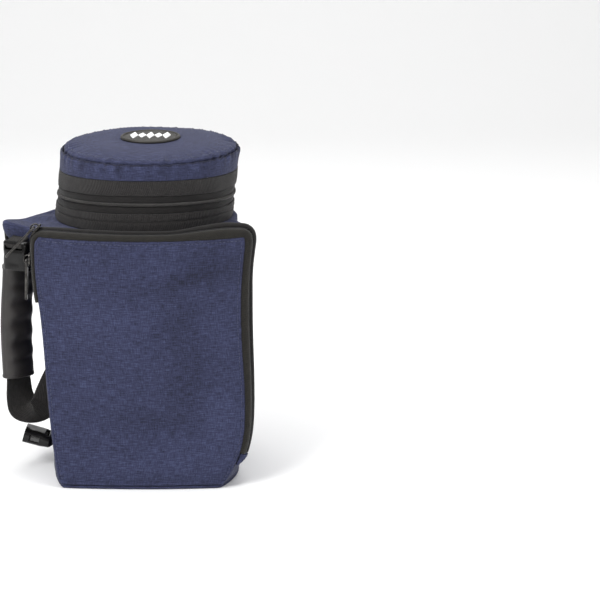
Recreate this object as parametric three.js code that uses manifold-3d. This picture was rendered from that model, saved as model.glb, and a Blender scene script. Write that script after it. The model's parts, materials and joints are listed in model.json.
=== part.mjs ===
// Tefillin case: a stiffened cloth cylinder with a zipped round lid, a zipped pocket across its front,
// a moulded grip on a webbing handle at its left, and two buckle halves on short webbing tabs.
// Millimetres, +Z up. The origin is the middle of the cylinder on the floor; the pocket faces -Y.
import * as THREE from 'three';
import Module from 'manifold-3d';
import { mergeVertices } from 'three/addons/utils/BufferGeometryUtils.js';

// Driving sizes of the whole case
const gap = 0.3;
const around = 44;
const cloth = 2;
const bodyRadius = 76;
const bodyHeight = 205.5;
const basePanel = 2;
const shoulderCloth = 1.5;
const mouthRadius = 69.5;

// Driving sizes of the collar and the lid
const collarRadius = 72.2;
const collarWall = 1.8;
const lowerBandHeight = 14;
const zipTapeHeight = 5;
const lidCoil = 2.8;
const tapeWall = 1.1;
const tapeRecess = 1.1;
const upperBandHeight = 12.6;
const lidBandHeight = 15;
const lidRise = 5.5;
const lidLean = 0.11;
const lidTilt = 0.025;
const bandWave = 1.8;
const gatherDepth = 0.45;
const badgeRadius = 24.2;
const badgeThickness = 2.4;
const badgeInset = 0.5;
const badgeSetBack = 1;
const motifRise = 0.7;
const motifPlinth = 2.2;
const lozengeTall = 24;
const lozengeShort = 17;

// Driving sizes of the pocket
const pocketHalfWidth = 82;
const pocketTop = 203;
const pocketFront = 88;
const pocketCloth = 2;
const cornerSetBack = 17;
const cornerSetBackBelow = 3;
const zipWall = 1;
const pocketCoil = 1.45;
const zipDepth = 12.2;
const zipRise = 6.1;
const zipLeftRun = 53;
const zipLeftEnd = pocketTop - zipLeftRun;
const zipRightEnd = 29;
const endTab = 10;

// Driving sizes of the handle
const webbing = 25;
const webbingThickness = 2.2;
const gripWidth = 28.5;
const gripThickness = 17.5;
const gripBottom = 74;
const gripTop = 170;
const fingerHollow = 2.6;
const fingerPitch = 16.5;

// Driving sizes of the buckle halves and the zip pulls
const buckleWidth = 20.5;
const buckleLength = 22;
const buckleThickness = 9;
const buckleWall = 1.5;
const buckleHead = 7;
const buckleCorner = 4;
const buckleBevel = 1.2;
const barThickness = 2;
const tabWebbing = 15;
const tabThickness = 1.5;
const pullLength = 34;
const pullWidth = 7.6;
const pinRadius = 0.9;
const sliderLength = 11;
const sliderWidth = 8.4;
const upperSliderRun = 52.4;
const lowerSliderRun = 33.2;

// The pulled-out corner of the body, up its height
const earAngle = 195.5;
const earReach = 41;
const earSpread = 47;
const earClearance = 2.2;
const earSections = [
  { height: 0.00, reach: 0.00 },
  { height: 0.70, reach: 0.00 },
  { height: 0.76, reach: 0.02 },
  { height: 0.82, reach: 0.10 },
  { height: 0.87, reach: 0.34 },
  { height: 0.91, reach: 0.70 },
  { height: 0.95, reach: 0.93 },
  { height: 1.00, reach: 1.00 },
];

// Side edges of the front panel, as shares of the pocket's top height and half width
const pocketSides = [
  { height: 0.000, left: 0.780, right: 0.790 },
  { height: 0.030, left: 0.812, right: 0.850 },
  { height: 0.075, left: 0.830, right: 0.905 },
  { height: 0.130, left: 0.846, right: 0.965 },
  { height: 0.200, left: 0.865, right: 1.005 },
  { height: 0.310, left: 0.888, right: 1.022 },
  { height: 0.420, left: 0.908, right: 1.015 },
  { height: 0.550, left: 0.928, right: 0.996 },
  { height: 0.680, left: 0.948, right: 0.986 },
  { height: 0.800, left: 0.964, right: 0.992 },
  { height: 0.890, left: 0.968, right: 1.010 },
  { height: 0.950, left: 0.962, right: 1.024 },
  { height: 0.985, left: 0.940, right: 1.018 },
  { height: 1.000, left: 0.905, right: 0.990 },
];

// Soft dents of the front panel: place and size as shares of the half width and the top height
const pocketDents = [
  { across: 0.56, up: 0.92, wide: 0.52, tall: 0.042, turn: 9, depth: 1.9 },
  { across: 0.52, up: 0.62, wide: 0.20, tall: 0.200, turn: 8, depth: 1.8 },
  { across: 0.24, up: 0.23, wide: 0.36, tall: 0.060, turn: -6, depth: 2.0 },
  { across: -0.10, up: 0.50, wide: 0.50, tall: 0.300, turn: 0, depth: -2.2 },
  { across: 0.30, up: 0.09, wide: 0.50, tall: 0.060, turn: 4, depth: -1.4 },
];

// How far the zip stands out from the panel's edge, along its run from the left end to the right end
const zipLifts = [
  { along: 0.00, lift: 0.55 },
  { along: 0.06, lift: 0.70 },
  { along: 0.11, lift: 0.85 },
  { along: 0.14, lift: 1.05 },
  { along: 0.25, lift: 1.05 },
  { along: 0.35, lift: 0.88 },
  { along: 0.42, lift: 0.98 },
  { along: 0.47, lift: 1.45 },
  { along: 0.52, lift: 1.70 },
  { along: 0.56, lift: 1.40 },
  { along: 0.61, lift: 1.20 },
  { along: 0.69, lift: 1.45 },
  { along: 0.79, lift: 1.30 },
  { along: 0.88, lift: 1.05 },
  { along: 1.00, lift: 0.95 },
];

// Centre line of the handle strap, from inside the lower seam, down round its turn and up to the outer face of
// the pulled-out corner: out is a share of strapStand from the seam, back a share of strapBack, up a share of
// the drop from strapHead to strapFoot, turn is the direction in plan that its inner face looks to, in degrees
// from the front, and lean is how far that face looks up
const strapFoot = 45;
const strapHead = bodyHeight - 4.5;
const strapStand = 30.8;
const strapBack = 6;
const strapRoute = [
  { out: -0.195, back: 0.00, up: 0.250, turn: 14, lean: 0 },
  { out: 0.016, back: 0.00, up: 0.176, turn: 14, lean: 0 },
  { out: 0.201, back: 0.00, up: 0.099, turn: 14, lean: -6 },
  { out: 0.357, back: 0.00, up: 0.035, turn: 14, lean: -18 },
  { out: 0.636, back: 0.00, up: 0.000, turn: 16, lean: -26 },
  { out: 0.909, back: 0.15, up: 0.023, turn: 26, lean: -18 },
  { out: 1.013, back: 0.42, up: 0.080, turn: 38, lean: -6 },
  { out: 1.042, back: 0.70, up: 0.147, turn: 47, lean: 0 },
  { out: 1.055, back: 0.90, up: 0.218, turn: 52, lean: 0 },
  { out: 1.062, back: 1.00, up: 0.327, turn: 52, lean: 0 },
  { out: 1.058, back: 1.02, up: 0.468, turn: 52, lean: 0 },
  { out: 1.019, back: 1.02, up: 0.603, turn: 52, lean: 0 },
  { out: 0.971, back: 1.00, up: 0.737, turn: 52, lean: 0 },
  { out: 0.971, back: 1.10, up: 0.853, turn: 54, lean: 0 },
  { out: 1.003, back: 1.32, up: 0.923, turn: 56, lean: 0 },
  { out: 1.023, back: 1.37, up: 0.987, turn: 56, lean: 0 },
];

const radians = Math.PI / 180;

// Reads one column of a table at a place between two of its rows
function readTable(rows, key, at, column) {
  const last = rows.length - 1;
  if (at <= rows[0][key]) return rows[0][column];
  if (at >= rows[last][key]) return rows[last][column];
  const next = rows.findIndex((row) => row[key] > at);
  const from = rows[next - 1];
  const to = rows[next];
  const share = (at - from[key]) / (to[key] - from[key]);
  return from[column] + (to[column] - from[column]) * share;
}

function smooth(low, high, at) {
  const share = Math.min(1, Math.max(0, (at - low) / (high - low)));
  return share * share * (3 - 2 * share);
}

// Volume inside a triangle list, used to turn its faces outward
function signedVolume(points, faces) {
  let sum = 0;
  for (const [a, b, c] of faces) {
    sum += points[a].dot(new THREE.Vector3().crossVectors(points[b], points[c]));
  }
  return sum / 6;
}

function solidGeometry(points, faces) {
  const outward = signedVolume(points, faces) >= 0;
  const geometry = new THREE.BufferGeometry().setFromPoints(points);
  geometry.setIndex(faces.flatMap(([a, b, c]) => (outward ? [a, b, c] : [a, c, b])));
  geometry.computeVertexNormals();
  return geometry;
}

// A thin wall between two matching grids of points; closed joins each row's end to its start
function wallGeometry(front, back, closed) {
  const rows = front.length;
  const columns = front[0].length;
  const points = [...front.flat(), ...back.flat()];
  const shift = rows * columns;
  const spans = closed ? columns : columns - 1;
  const faces = [];
  const addQuad = (a, b, c, d) => faces.push([a, b, c], [a, c, d]);
  for (let row = 0; row < rows - 1; row += 1) {
    for (let span = 0; span < spans; span += 1) {
      const a = row * columns + span;
      const b = row * columns + ((span + 1) % columns);
      addQuad(a, b, b + columns, a + columns);
      addQuad(shift + a, shift + a + columns, shift + b + columns, shift + b);
    }
  }
  const top = (rows - 1) * columns;
  for (let span = 0; span < spans; span += 1) {
    const next = (span + 1) % columns;
    addQuad(span, shift + span, shift + next, next);
    addQuad(top + span, top + next, shift + top + next, shift + top + span);
  }
  if (!closed) {
    for (let row = 0; row < rows - 1; row += 1) {
      const a = row * columns;
      const b = a + columns - 1;
      addQuad(a, a + columns, shift + a + columns, shift + a);
      addQuad(b, shift + b, shift + b + columns, b + columns);
    }
  }
  return solidGeometry(points, faces);
}

// A bar through matching closed sections, with a flat cap on each end
function barGeometry(sections) {
  const count = sections[0].length;
  const points = sections.flat();
  const faces = [];
  for (let ring = 0; ring < sections.length - 1; ring += 1) {
    for (let side = 0; side < count; side += 1) {
      const a = ring * count + side;
      const b = ring * count + ((side + 1) % count);
      faces.push([a, b, b + count], [a, b + count, a + count]);
    }
  }
  const last = (sections.length - 1) * count;
  for (let side = 1; side < count - 1; side += 1) {
    faces.push([0, side + 1, side], [last, last + side, last + side + 1]);
  }
  return solidGeometry(points, faces);
}

// Boolean joins and cuts
const wasm = await Module();
wasm.setup();

function toSolid(geometry) {
  const bare = geometry.clone();
  bare.deleteAttribute('normal');
  bare.deleteAttribute('uv');
  const merged = mergeVertices(bare, 1e-4);
  return new wasm.Manifold(new wasm.Mesh({
    numProp: 3,
    vertProperties: new Float32Array(merged.attributes.position.array),
    triVerts: new Uint32Array(merged.index.array),
  }));
}

function fromSolid(solid) {
  const mesh = solid.getMesh();
  const geometry = new THREE.BufferGeometry();
  geometry.setAttribute('position', new THREE.BufferAttribute(new Float32Array(mesh.vertProperties), 3));
  geometry.setIndex(new THREE.BufferAttribute(new Uint32Array(mesh.triVerts), 1));
  geometry.computeVertexNormals();
  return geometry;
}

function box(width, depth, height, x = 0, y = 0, z = 0) {
  return new THREE.BoxGeometry(width, depth, height).translate(x, y, z);
}

function roundedPlate(width, height, thickness, radius, bevel) {
  const shape = new THREE.Shape();
  const x = width / 2 - bevel;
  const y = height / 2 - bevel;
  const r = radius - bevel;
  shape.absarc(x - r, y - r, r, 0, Math.PI / 2);
  shape.absarc(-x + r, y - r, r, Math.PI / 2, Math.PI);
  shape.absarc(-x + r, -y + r, r, Math.PI, 1.5 * Math.PI);
  shape.absarc(x - r, -y + r, r, 1.5 * Math.PI, 2 * Math.PI);
  const plate = new THREE.ExtrudeGeometry(shape, {
    depth: thickness - 2 * bevel,
    curveSegments: 2,
    bevelEnabled: bevel > 0,
    bevelThickness: bevel,
    bevelSize: bevel,
    bevelSegments: 1,
  });
  return plate.translate(0, 0, bevel - thickness / 2);
}

// Materials
function material(color, roughness, metalness = 0) {
  return new THREE.MeshStandardMaterial({ color, roughness, metalness });
}

const materials = {
  cloth: material('#3f4568', 0.9),
  tape: material('#3c3938', 0.85),
  coil: material('#413d3e', 0.5),
  webbing: material('#2d2928', 0.9),
  grip: material('#343030', 0.55),
  buckle: material('#1e1c1c', 0.25),
  metal: material('#55534f', 0.3, 0.9),
  badge: material('#24211f', 0.6),
  motif: material('#ececea', 0.6),
};

const tefillinCase = new THREE.Group();

function addPart(name, geometry, materialName, parent = tefillinCase) {
  const mesh = new THREE.Mesh(geometry, materials[materialName]);
  mesh.name = name;
  parent.add(mesh);
  return mesh;
}

// Body: the cylinder and its pulled-out corner
function bodyReach(angle, z) {
  const turn = Math.abs(((angle - earAngle + 540) % 360) - 180) / earSpread;
  const pull = turn < 1 ? (1 - turn) ** 2.7 : 0;
  return bodyRadius + earReach * pull * readTable(earSections, 'height', z / bodyHeight, 'reach');
}

function onPlan(angle, reach, z) {
  return new THREE.Vector3(reach * Math.cos(angle * radians), reach * Math.sin(angle * radians), z);
}

const turns = Array.from({ length: around }, (_, step) => earAngle + (step * 360) / around);
const wallFoot = basePanel + gap;
const wallTop = bodyHeight - shoulderCloth - gap;
const bodyLevels = [0, 0.4, 0.70, 0.76, 0.82, 0.87, 0.91, 0.95, 1];

function bodyWall() {
  const levels = bodyLevels.map((share) => wallFoot + (wallTop - wallFoot) * share);
  const outside = levels.map((z) => turns.map((angle) => onPlan(angle, bodyReach(angle, z), z)));
  const inside = levels.map((z) => turns.map((angle) => onPlan(angle, bodyReach(angle, z) - cloth, z)));
  return wallGeometry(outside, inside, true);
}

// Pocket: front panel between its two side edges, set back at the corners
function panelSide(z, side) {
  const level = (z - wallFoot) / (pocketTop - wallFoot);
  return side * readTable(pocketSides, 'height', level, side < 0 ? 'left' : 'right') * pocketHalfWidth;
}

function panelDepth(across, z) {
  const setBack = cornerSetBackBelow + (cornerSetBack - cornerSetBackBelow) * smooth(0, 0.9, z / pocketTop);
  let y = -pocketFront + setBack * Math.abs(across) ** 2.2;
  for (const dent of pocketDents) {
    const dx = across - dent.across;
    const dz = (z / pocketTop - dent.up) * (pocketTop / pocketHalfWidth);
    const along = dx * Math.cos(dent.turn * radians) + dz * Math.sin(dent.turn * radians);
    const over = dz * Math.cos(dent.turn * radians) - dx * Math.sin(dent.turn * radians);
    const fade = 1 - Math.min(1, Math.abs(across)) ** 4;
    y += dent.depth * fade * Math.exp(-((along / dent.wide) ** 2) - ((over / (dent.tall * 2.4)) ** 2));
  }
  return y;
}

function panelPoint(across, z) {
  const middle = (panelSide(z, -1) + panelSide(z, 1)) / 2;
  const half = (panelSide(z, 1) - panelSide(z, -1)) / 2;
  return new THREE.Vector3(middle + half * across, panelDepth(across, z), z);
}

const panelColumns = 12;
const panelHeights = pocketSides.map((row) => wallFoot + (pocketTop - wallFoot) * row.height);
const panelAcross = Array.from({ length: panelColumns + 1 }, (_, step) => -1 + (2 * step) / panelColumns);

function frontPanel() {
  const outside = panelHeights.map((z) => panelAcross.map((across) => panelPoint(across, z)));
  const inside = outside.map((row) => row.map((point) => point.clone().setY(point.y + pocketCloth)));
  return wallGeometry(outside, inside, false);
}

// The zip follows the panel's own edge: up the left side, along the top and down the right side
function zipSpots() {
  const sideRun = (side, end) => {
    const levels = panelHeights.filter((z) => z > end + 2);
    return [end, ...levels].map((z) => panelPoint(side, z));
  };
  const topRun = panelAcross.slice(1, -1).map((across) => panelPoint(across, pocketTop));
  const points = [...sideRun(-1, zipLeftEnd), ...topRun, ...sideRun(1, zipRightEnd).reverse()];
  const reached = [0];
  for (let index = 1; index < points.length; index += 1) {
    reached.push(reached[index - 1] + points[index].distanceTo(points[index - 1]));
  }
  return points.map((point, index) => {
    const before = points[Math.max(0, index - 1)];
    const after = points[Math.min(points.length - 1, index + 1)];
    const forward = after.clone().sub(before).normalize();
    const outward = forward.clone().cross(new THREE.Vector3(0, 1, 0)).normalize();
    return { point, outward, along: reached[index] / reached[points.length - 1] };
  });
}

const zipRun = zipSpots();
const zipSteps = zipRun.slice(1).map((spot, index) => spot.point.distanceTo(zipRun[index].point));
const zipLength = zipSteps.reduce((sum, step) => sum + step, 0);
const topStart = zipRun.findIndex((spot) => spot.point.z >= pocketTop - gap);
const topCount = panelColumns + 1;

// A point beside one spot of the zip, standing out from the panel's edge and set back from its front
function besideZip(spot, out, back) {
  const lift = readTable(zipLifts, 'along', spot.along, 'lift');
  const reach = gap + out * lift;
  return spot.point.clone().addScaledVector(spot.outward, reach).add(new THREE.Vector3(0, back, 0));
}

function zipBar(section) {
  return barGeometry(zipRun.map((spot) => section.map(({ out, back }) => besideZip(spot, out, back))));
}

const coilBack = 0.54 * zipDepth;
const frontTapeSection = [
  { out: 0, back: 0.4 },
  { out: 0.55 * zipRise, back: 0.10 * zipDepth },
  { out: 0.93 * zipRise, back: coilBack - pocketCoil - gap - zipWall * 0.6 },
  { out: 0.80 * zipRise, back: coilBack - pocketCoil - gap },
  { out: 0.46 * zipRise, back: 0.10 * zipDepth + zipWall },
  { out: 0, back: 0.4 + zipWall },
];
const backTapeSection = [
  { out: 0.93 * zipRise, back: coilBack + pocketCoil + gap },
  { out: 0.84 * zipRise, back: 0.86 * zipDepth },
  { out: 0.58 * zipRise, back: zipDepth },
  { out: 0.44 * zipRise, back: zipDepth - zipWall * 0.8 },
  { out: 0.66 * zipRise, back: 0.82 * zipDepth },
  { out: 0.77 * zipRise, back: coilBack + pocketCoil + gap },
];
const coilSection = Array.from({ length: 6 }, (_, corner) => ({
  out: 0.94 * zipRise + pocketCoil * 0.8 * Math.cos(corner * 60 * radians),
  back: coilBack + pocketCoil * Math.sin(corner * 60 * radians),
}));

// Cloth end of the zip, low on the right: folded over both tapes and tucked in toward the panel's edge
const endTabSection = [
  { out: 0, back: 0.5 },
  { out: 0.58 * zipRise, back: 0.08 * zipDepth },
  { out: zipRise, back: 0.40 * zipDepth },
  { out: zipRise, back: 0.66 * zipDepth },
  { out: 0.62 * zipRise, back: zipDepth },
  { out: 0.20 * zipRise, back: 0.97 * zipDepth },
];

function zipEndTab() {
  const last = zipRun[zipRun.length - 1];
  const start = last.point.z - 2 * gap;
  const spots = [0, 0.4, 0.8, 1].map((share) => ({
    point: panelPoint(1, start - share * (endTab - 3 * gap)),
    outward: last.outward,
    along: last.along,
    tuck: 1 - 0.5 * share * share,
  }));
  return barGeometry(spots.map((spot) => (
    endTabSection.map(({ out, back }) => besideZip(spot, out * spot.tuck, back))
  )));
}

// Pocket sides: from behind the zip, or from behind the panel past the zip's end, back to the cylinder
const sideColumns = 5;
const cornerStart = 0.95;

function sideFrontEdge(z, side) {
  const zipEnd = side < 0 ? zipLeftEnd : zipRightEnd - endTab;
  const behindZip = smooth(zipEnd - 9, zipEnd - 3, z);
  const edge = panelPoint(side, z);
  edge.x = panelSide(Math.min(z, cornerStart * pocketTop), side);
  const along = side < 0 ? 0.05 : 0.62 + 0.38 * smooth(pocketTop, zipRightEnd, z);
  const lift = readTable(zipLifts, 'along', along, 'lift');
  edge.x += side * behindZip * 0.44 * zipRise * lift;
  edge.y += pocketCloth + gap + behindZip * (zipDepth - pocketCloth);
  return edge;
}

function sideRearEdge(z, side) {
  const ear = readTable(earSections, 'height', z / bodyHeight, 'reach');
  const angle = side < 0 ? 197 + 19 * ear : -14;
  const clear = gap + cloth + earClearance * Math.sin(Math.PI * ear);
  return onPlan(angle, bodyReach(angle < 0 ? angle + 360 : angle, z) + clear, z);
}

function sidePoint(z, side, share) {
  const front = sideFrontEdge(z, side);
  const rear = sideRearEdge(z, side);
  const bulge = (side < 0 ? 1.5 : 3.5) + 3 * smooth(zipRightEnd, 0, z) * (side > 0 ? 1 : 0.4);
  const point = front.lerp(rear, share);
  point.x += side * bulge * Math.sin(Math.PI * share);
  return point;
}

function sideHeights(side) {
  const tabFoot = zipRightEnd - endTab;
  const ends = side < 0
    ? [0, 0.1, 0.3, 0.5, (zipLeftEnd - 9) / pocketTop, (zipLeftEnd - 3) / pocketTop, 0.8, 0.88, 0.95]
    : [0, 0.02, (tabFoot - 9) / pocketTop, (tabFoot - 3) / pocketTop, 0.2, 0.4, 0.6, 0.8, 0.93];
  const levels = ends.map((share) => Math.max(wallFoot, share * pocketTop));
  return [...levels, wallTop];
}

function pocketSide(side) {
  const shares = Array.from({ length: sideColumns + 1 }, (_, step) => step / sideColumns);
  const levels = sideHeights(side);
  const outside = levels.map((z) => shares.map((share) => sidePoint(z, side, share)));
  const inside = outside.map((row) => row.map((point) => point.clone().setX(point.x - side * cloth)));
  return wallGeometry(outside, inside, false);
}

// The outline of the whole case in plan at a height, from the right rear corner of the pocket, round the
// back of the cylinder, to the left one, and along the pocket's front; spansValley leaves out the fold between
// the pulled-out corner and the pocket's side
function caseOutline(z, frontLine, spansValley) {
  const shares = [0, 0.25, 0.5, 0.75, 1];
  const rightSide = shares.map((share) => sidePoint(z, 1, share));
  const leftShares = spansValley ? [0.25, 0] : [...shares].reverse();
  const leftSide = leftShares.map((share) => sidePoint(z, -1, share));
  const startAngle = Math.atan2(rightSide[4].y, rightSide[4].x) / radians;
  const endAngle = Math.atan2(leftSide[0].y, leftSide[0].x) / radians + 360;
  const margin = spansValley ? 10 : 4;
  const arc = turns
    .map((angle) => ((angle + 90) % 360) - 90)
    .filter((angle) => angle > startAngle + 4 && angle < endAngle - margin)
    .sort((a, b) => a - b)
    .map((angle) => onPlan(angle, bodyReach((angle + 360) % 360, z), z));
  return [...rightSide, ...arc, ...leftSide, ...frontLine];
}

function basePlate() {
  const margin = 0.6;
  const front = panelAcross.map((across) => panelPoint(across, wallFoot));
  const outline = caseOutline(wallFoot, front, false).map((point) => {
    const flat = new THREE.Vector2(point.x, point.y);
    return flat.setLength(flat.length() + margin);
  });
  return new THREE.ExtrudeGeometry(new THREE.Shape(outline), { depth: basePanel, bevelEnabled: false });
}

// Shoulder: from the outline in to the mouth, rising a little toward the lifted corner of the zip
function shoulderPanel() {
  const topRun = zipRun.slice(topStart, topStart + topCount);
  const front = topRun.map((spot) => besideZip(spot, 0.42 * zipRise, zipDepth + gap));
  const outer = caseOutline(wallTop, front, true);
  outer.forEach((point) => {
    if (point.z <= wallTop) point.setZ(bodyHeight);
  });
  const inner = outer.map((point) => {
    const angle = Math.atan2(point.y, point.x);
    return new THREE.Vector3(mouthRadius * Math.cos(angle), mouthRadius * Math.sin(angle), bodyHeight);
  });
  const under = [outer, inner].map((row) => row.map((point) => point.clone().setZ(point.z - shoulderCloth)));
  return wallGeometry([outer, inner], under, true);
}

// Collar and lid: rings about the axis, then leaned, tilted and waved together so that gaps stay even
const collarFoot = bodyHeight + gap;
const seamHeight = collarFoot + lowerBandHeight + 2 * zipTapeHeight + lidCoil + upperBandHeight + lidBandHeight
  + 5 * gap;
const collarHeight = seamHeight - collarFoot;

function settle(geometry) {
  const position = geometry.attributes.position;
  for (let index = 0; index < position.count; index += 1) {
    const x = position.getX(index);
    const y = position.getY(index);
    const rise = position.getZ(index) - collarFoot;
    const share = Math.min(1, rise / collarHeight);
    const reach = Math.max(1, Math.hypot(x, y));
    const wave = bandWave * Math.sin(Math.PI * share) * ((y * y - x * x) / (reach * reach));
    const tilt = lidTilt * share * share * (y + 0.25 * collarRadius);
    position.setX(index, x + lidLean * rise);
    position.setZ(index, position.getZ(index) + (reach > 0.5 * collarRadius ? wave : 0) + tilt);
  }
  geometry.computeVertexNormals();
  return geometry;
}

function ring(profile) {
  const points = [...profile, profile[0]].map(([radius, height]) => new THREE.Vector2(radius, height));
  return new THREE.LatheGeometry(points, around).rotateX(Math.PI / 2);
}

function band(foot, height, radius, wall) {
  return settle(ring([
    [radius - wall, foot],
    [radius, foot],
    [radius, foot + height],
    [radius - wall, foot + height],
  ]));
}

const lowerTapeFoot = collarFoot + lowerBandHeight + gap;
const coilFoot = lowerTapeFoot + zipTapeHeight + gap;
const upperTapeFoot = coilFoot + lidCoil + gap;
const upperBandFoot = upperTapeFoot + zipTapeHeight + gap;
const lidBandFoot = upperBandFoot + upperBandHeight + gap;

function lidCoilRing() {
  const middle = coilFoot + lidCoil / 2;
  const outside = collarRadius - 0.1;
  const profile = [
    [outside - 2.4, middle - lidCoil / 2],
    [outside - 0.5, middle - lidCoil / 2],
    [outside, middle],
    [outside - 0.5, middle + lidCoil / 2],
    [outside - 2.4, middle + lidCoil / 2],
  ];
  return settle(ring(profile));
}

function lidBand() {
  const top = lidBandFoot + lidBandHeight;
  const radius = collarRadius - 0.3;
  const geometry = ring([
    [radius - collarWall, lidBandFoot],
    [radius, lidBandFoot],
    [radius + 0.4, top - 6],
    [radius - 0.8, top - 1.6],
    [radius - 2.0, top - 0.2],
    [radius - 3.4, top - 1.0],
    [radius - collarWall - 0.4, top - 4],
  ]);
  const position = geometry.attributes.position;
  for (let index = 0; index < position.count; index += 1) {
    const x = position.getX(index);
    const y = position.getY(index);
    const gathered = smooth(top - 8, top - 1, position.getZ(index));
    const step = Math.round((Math.atan2(y, x) / radians / 360) * around);
    const scale = 1 + ((step % 2 === 0 ? 1 : -1) * gatherDepth * gathered) / collarRadius;
    position.setX(index, x * scale);
    position.setY(index, y * scale);
  }
  return settle(geometry);
}

const lidEdge = collarRadius - 2.6;

function lidTopHeight(reach) {
  const share = Math.min(1, reach / lidEdge);
  return seamHeight + 0.5 + lidRise * (1 - share ** 6) * (0.86 + 0.14 * (1 - share * share));
}

function lidTop() {
  const shares = [0, 0.35, 0.6, 0.8, 0.9, 0.96, 1];
  const top = shares.map((share) => [share * lidEdge, lidTopHeight(share * lidEdge)]);
  const under = [0, 0.6, 0.9, 1].map((share) => (
    [share * lidEdge * 0.965, lidTopHeight(share * lidEdge) - cloth * 0.8]
  ));
  const profile = [...under, ...top.reverse()].map(([radius, height]) => new THREE.Vector2(radius, height));
  return settle(new THREE.LatheGeometry(profile, around).rotateX(Math.PI / 2));
}

// Badge: a disc with a rolled rim and a band of raised lozenges, both following the dome that they lie on
const lidCentre = lidLean * collarHeight;

function drape(geometry, rise) {
  const position = geometry.attributes.position;
  for (let index = 0; index < position.count; index += 1) {
    const x = position.getX(index);
    const y = position.getY(index) + badgeSetBack;
    const tilt = lidTilt * (y + 0.25 * collarRadius);
    const floor = lidTopHeight(Math.hypot(x, y)) + tilt + rise;
    position.setXYZ(index, x + lidCentre, y, position.getZ(index) + floor);
  }
  geometry.computeVertexNormals();
  return geometry;
}

function badgeDisc() {
  const profile = [
    [0, 0],
    [badgeRadius * 0.5, 0],
    [badgeRadius - 0.6, 0],
    [badgeRadius, 0.6],
    [badgeRadius, badgeThickness - 0.7],
    [badgeRadius - 0.8, badgeThickness],
    [badgeRadius - 2.6, badgeThickness],
    [badgeRadius - 3.2, badgeThickness - badgeInset],
    [badgeRadius * 0.5, badgeThickness - badgeInset],
    [0, badgeThickness - badgeInset],
  ].map(([radius, height]) => new THREE.Vector2(radius, height));
  return drape(new THREE.LatheGeometry(profile, 26).rotateX(Math.PI / 2), 2 * gap);
}

function badgeMotif() {
  const count = 5;
  const pitch = (badgeRadius * 1.36) / count;
  const plinth = roundedPlate(pitch * count, motifPlinth, motifRise * 0.6, motifPlinth * 0.45, 0);
  let solid = toSolid(plinth.translate(0, 0, motifRise * 0.3));
  for (let step = 0; step < count; step += 1) {
    const height = step % 2 === 0 ? lozengeTall : lozengeShort;
    const half = pitch * 0.54;
    const lozenge = new THREE.Shape([
      new THREE.Vector2(-half, 0),
      new THREE.Vector2(0, -height / 2),
      new THREE.Vector2(half, 0),
      new THREE.Vector2(0, height / 2),
    ]);
    const raised = new THREE.ExtrudeGeometry(lozenge, { depth: motifRise, bevelEnabled: false });
    solid = solid.add(toSolid(raised.translate((step - (count - 1) / 2) * pitch, 0, 0)));
  }
  return drape(fromSolid(solid), 3 * gap + badgeThickness - badgeInset);
}

// Handle: a webbing strap from the side seam to the pulled-out corner, and the moulded grip round it
const seamSpot = new THREE.Vector3(-72, -24.5, 0);
const seamHeightLow = 70;

function strapCurve() {
  const drop = strapHead - strapFoot;
  const points = strapRoute.map((row) => new THREE.Vector3(
    seamSpot.x - row.out * strapStand,
    seamSpot.y + row.back * strapBack,
    strapFoot + row.up * drop,
  ));
  return new THREE.CatmullRomCurve3(points, false, 'centripetal');
}

const strapLine = strapCurve();

// The directions along, across and through the strap at a share of its run
function strapFrame(along) {
  const point = strapLine.getPointAt(along);
  const tangent = strapLine.getTangentAt(along);
  const knot = strapLine.getUtoTmapping(along) * (strapRoute.length - 1);
  const before = strapRoute[Math.min(strapRoute.length - 2, Math.floor(knot))];
  const after = strapRoute[Math.min(strapRoute.length - 1, Math.floor(knot) + 1)];
  const share = knot - Math.floor(knot);
  const turn = (before.turn + (after.turn - before.turn) * share) * radians;
  const lean = (before.lean + (after.lean - before.lean) * share) * radians;
  const face = new THREE.Vector3(Math.sin(turn), -Math.cos(turn), 0).multiplyScalar(Math.cos(lean));
  face.z = Math.sin(lean);
  face.addScaledVector(tangent, -face.dot(tangent)).normalize();
  const across = new THREE.Vector3().crossVectors(tangent, face).normalize();
  return { point, tangent, across, face };
}

function strapAlongAt(z) {
  let best = 0.5;
  for (let step = 30; step <= 100; step += 1) {
    if (Math.abs(strapLine.getPointAt(step / 100).z - z) < Math.abs(strapLine.getPointAt(best).z - z)) {
      best = step / 100;
    }
  }
  return best;
}

function crossSection(frame, outline) {
  return outline.map(([across, face]) => frame.point.clone()
    .addScaledVector(frame.across, across)
    .addScaledVector(frame.face, face));
}

function handleStrap() {
  const half = webbing / 2;
  const deep = webbingThickness / 2;
  const outline = [[-half, -deep], [half, -deep], [half, deep], [-half, deep]];
  const steps = 36;
  const rings = [];
  for (let step = 0; step <= steps; step += 1) rings.push(crossSection(strapFrame(step / steps), outline));
  const seamFace = sidePoint(seamHeightLow, -1, 1).x - gap;
  const behindSeam = box(webbing, webbing, 3 * webbing, seamFace + webbing / 2, seamSpot.y, seamHeightLow);
  return fromSolid(toSolid(barGeometry(rings)).subtract(toSolid(behindSeam)));
}

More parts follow.
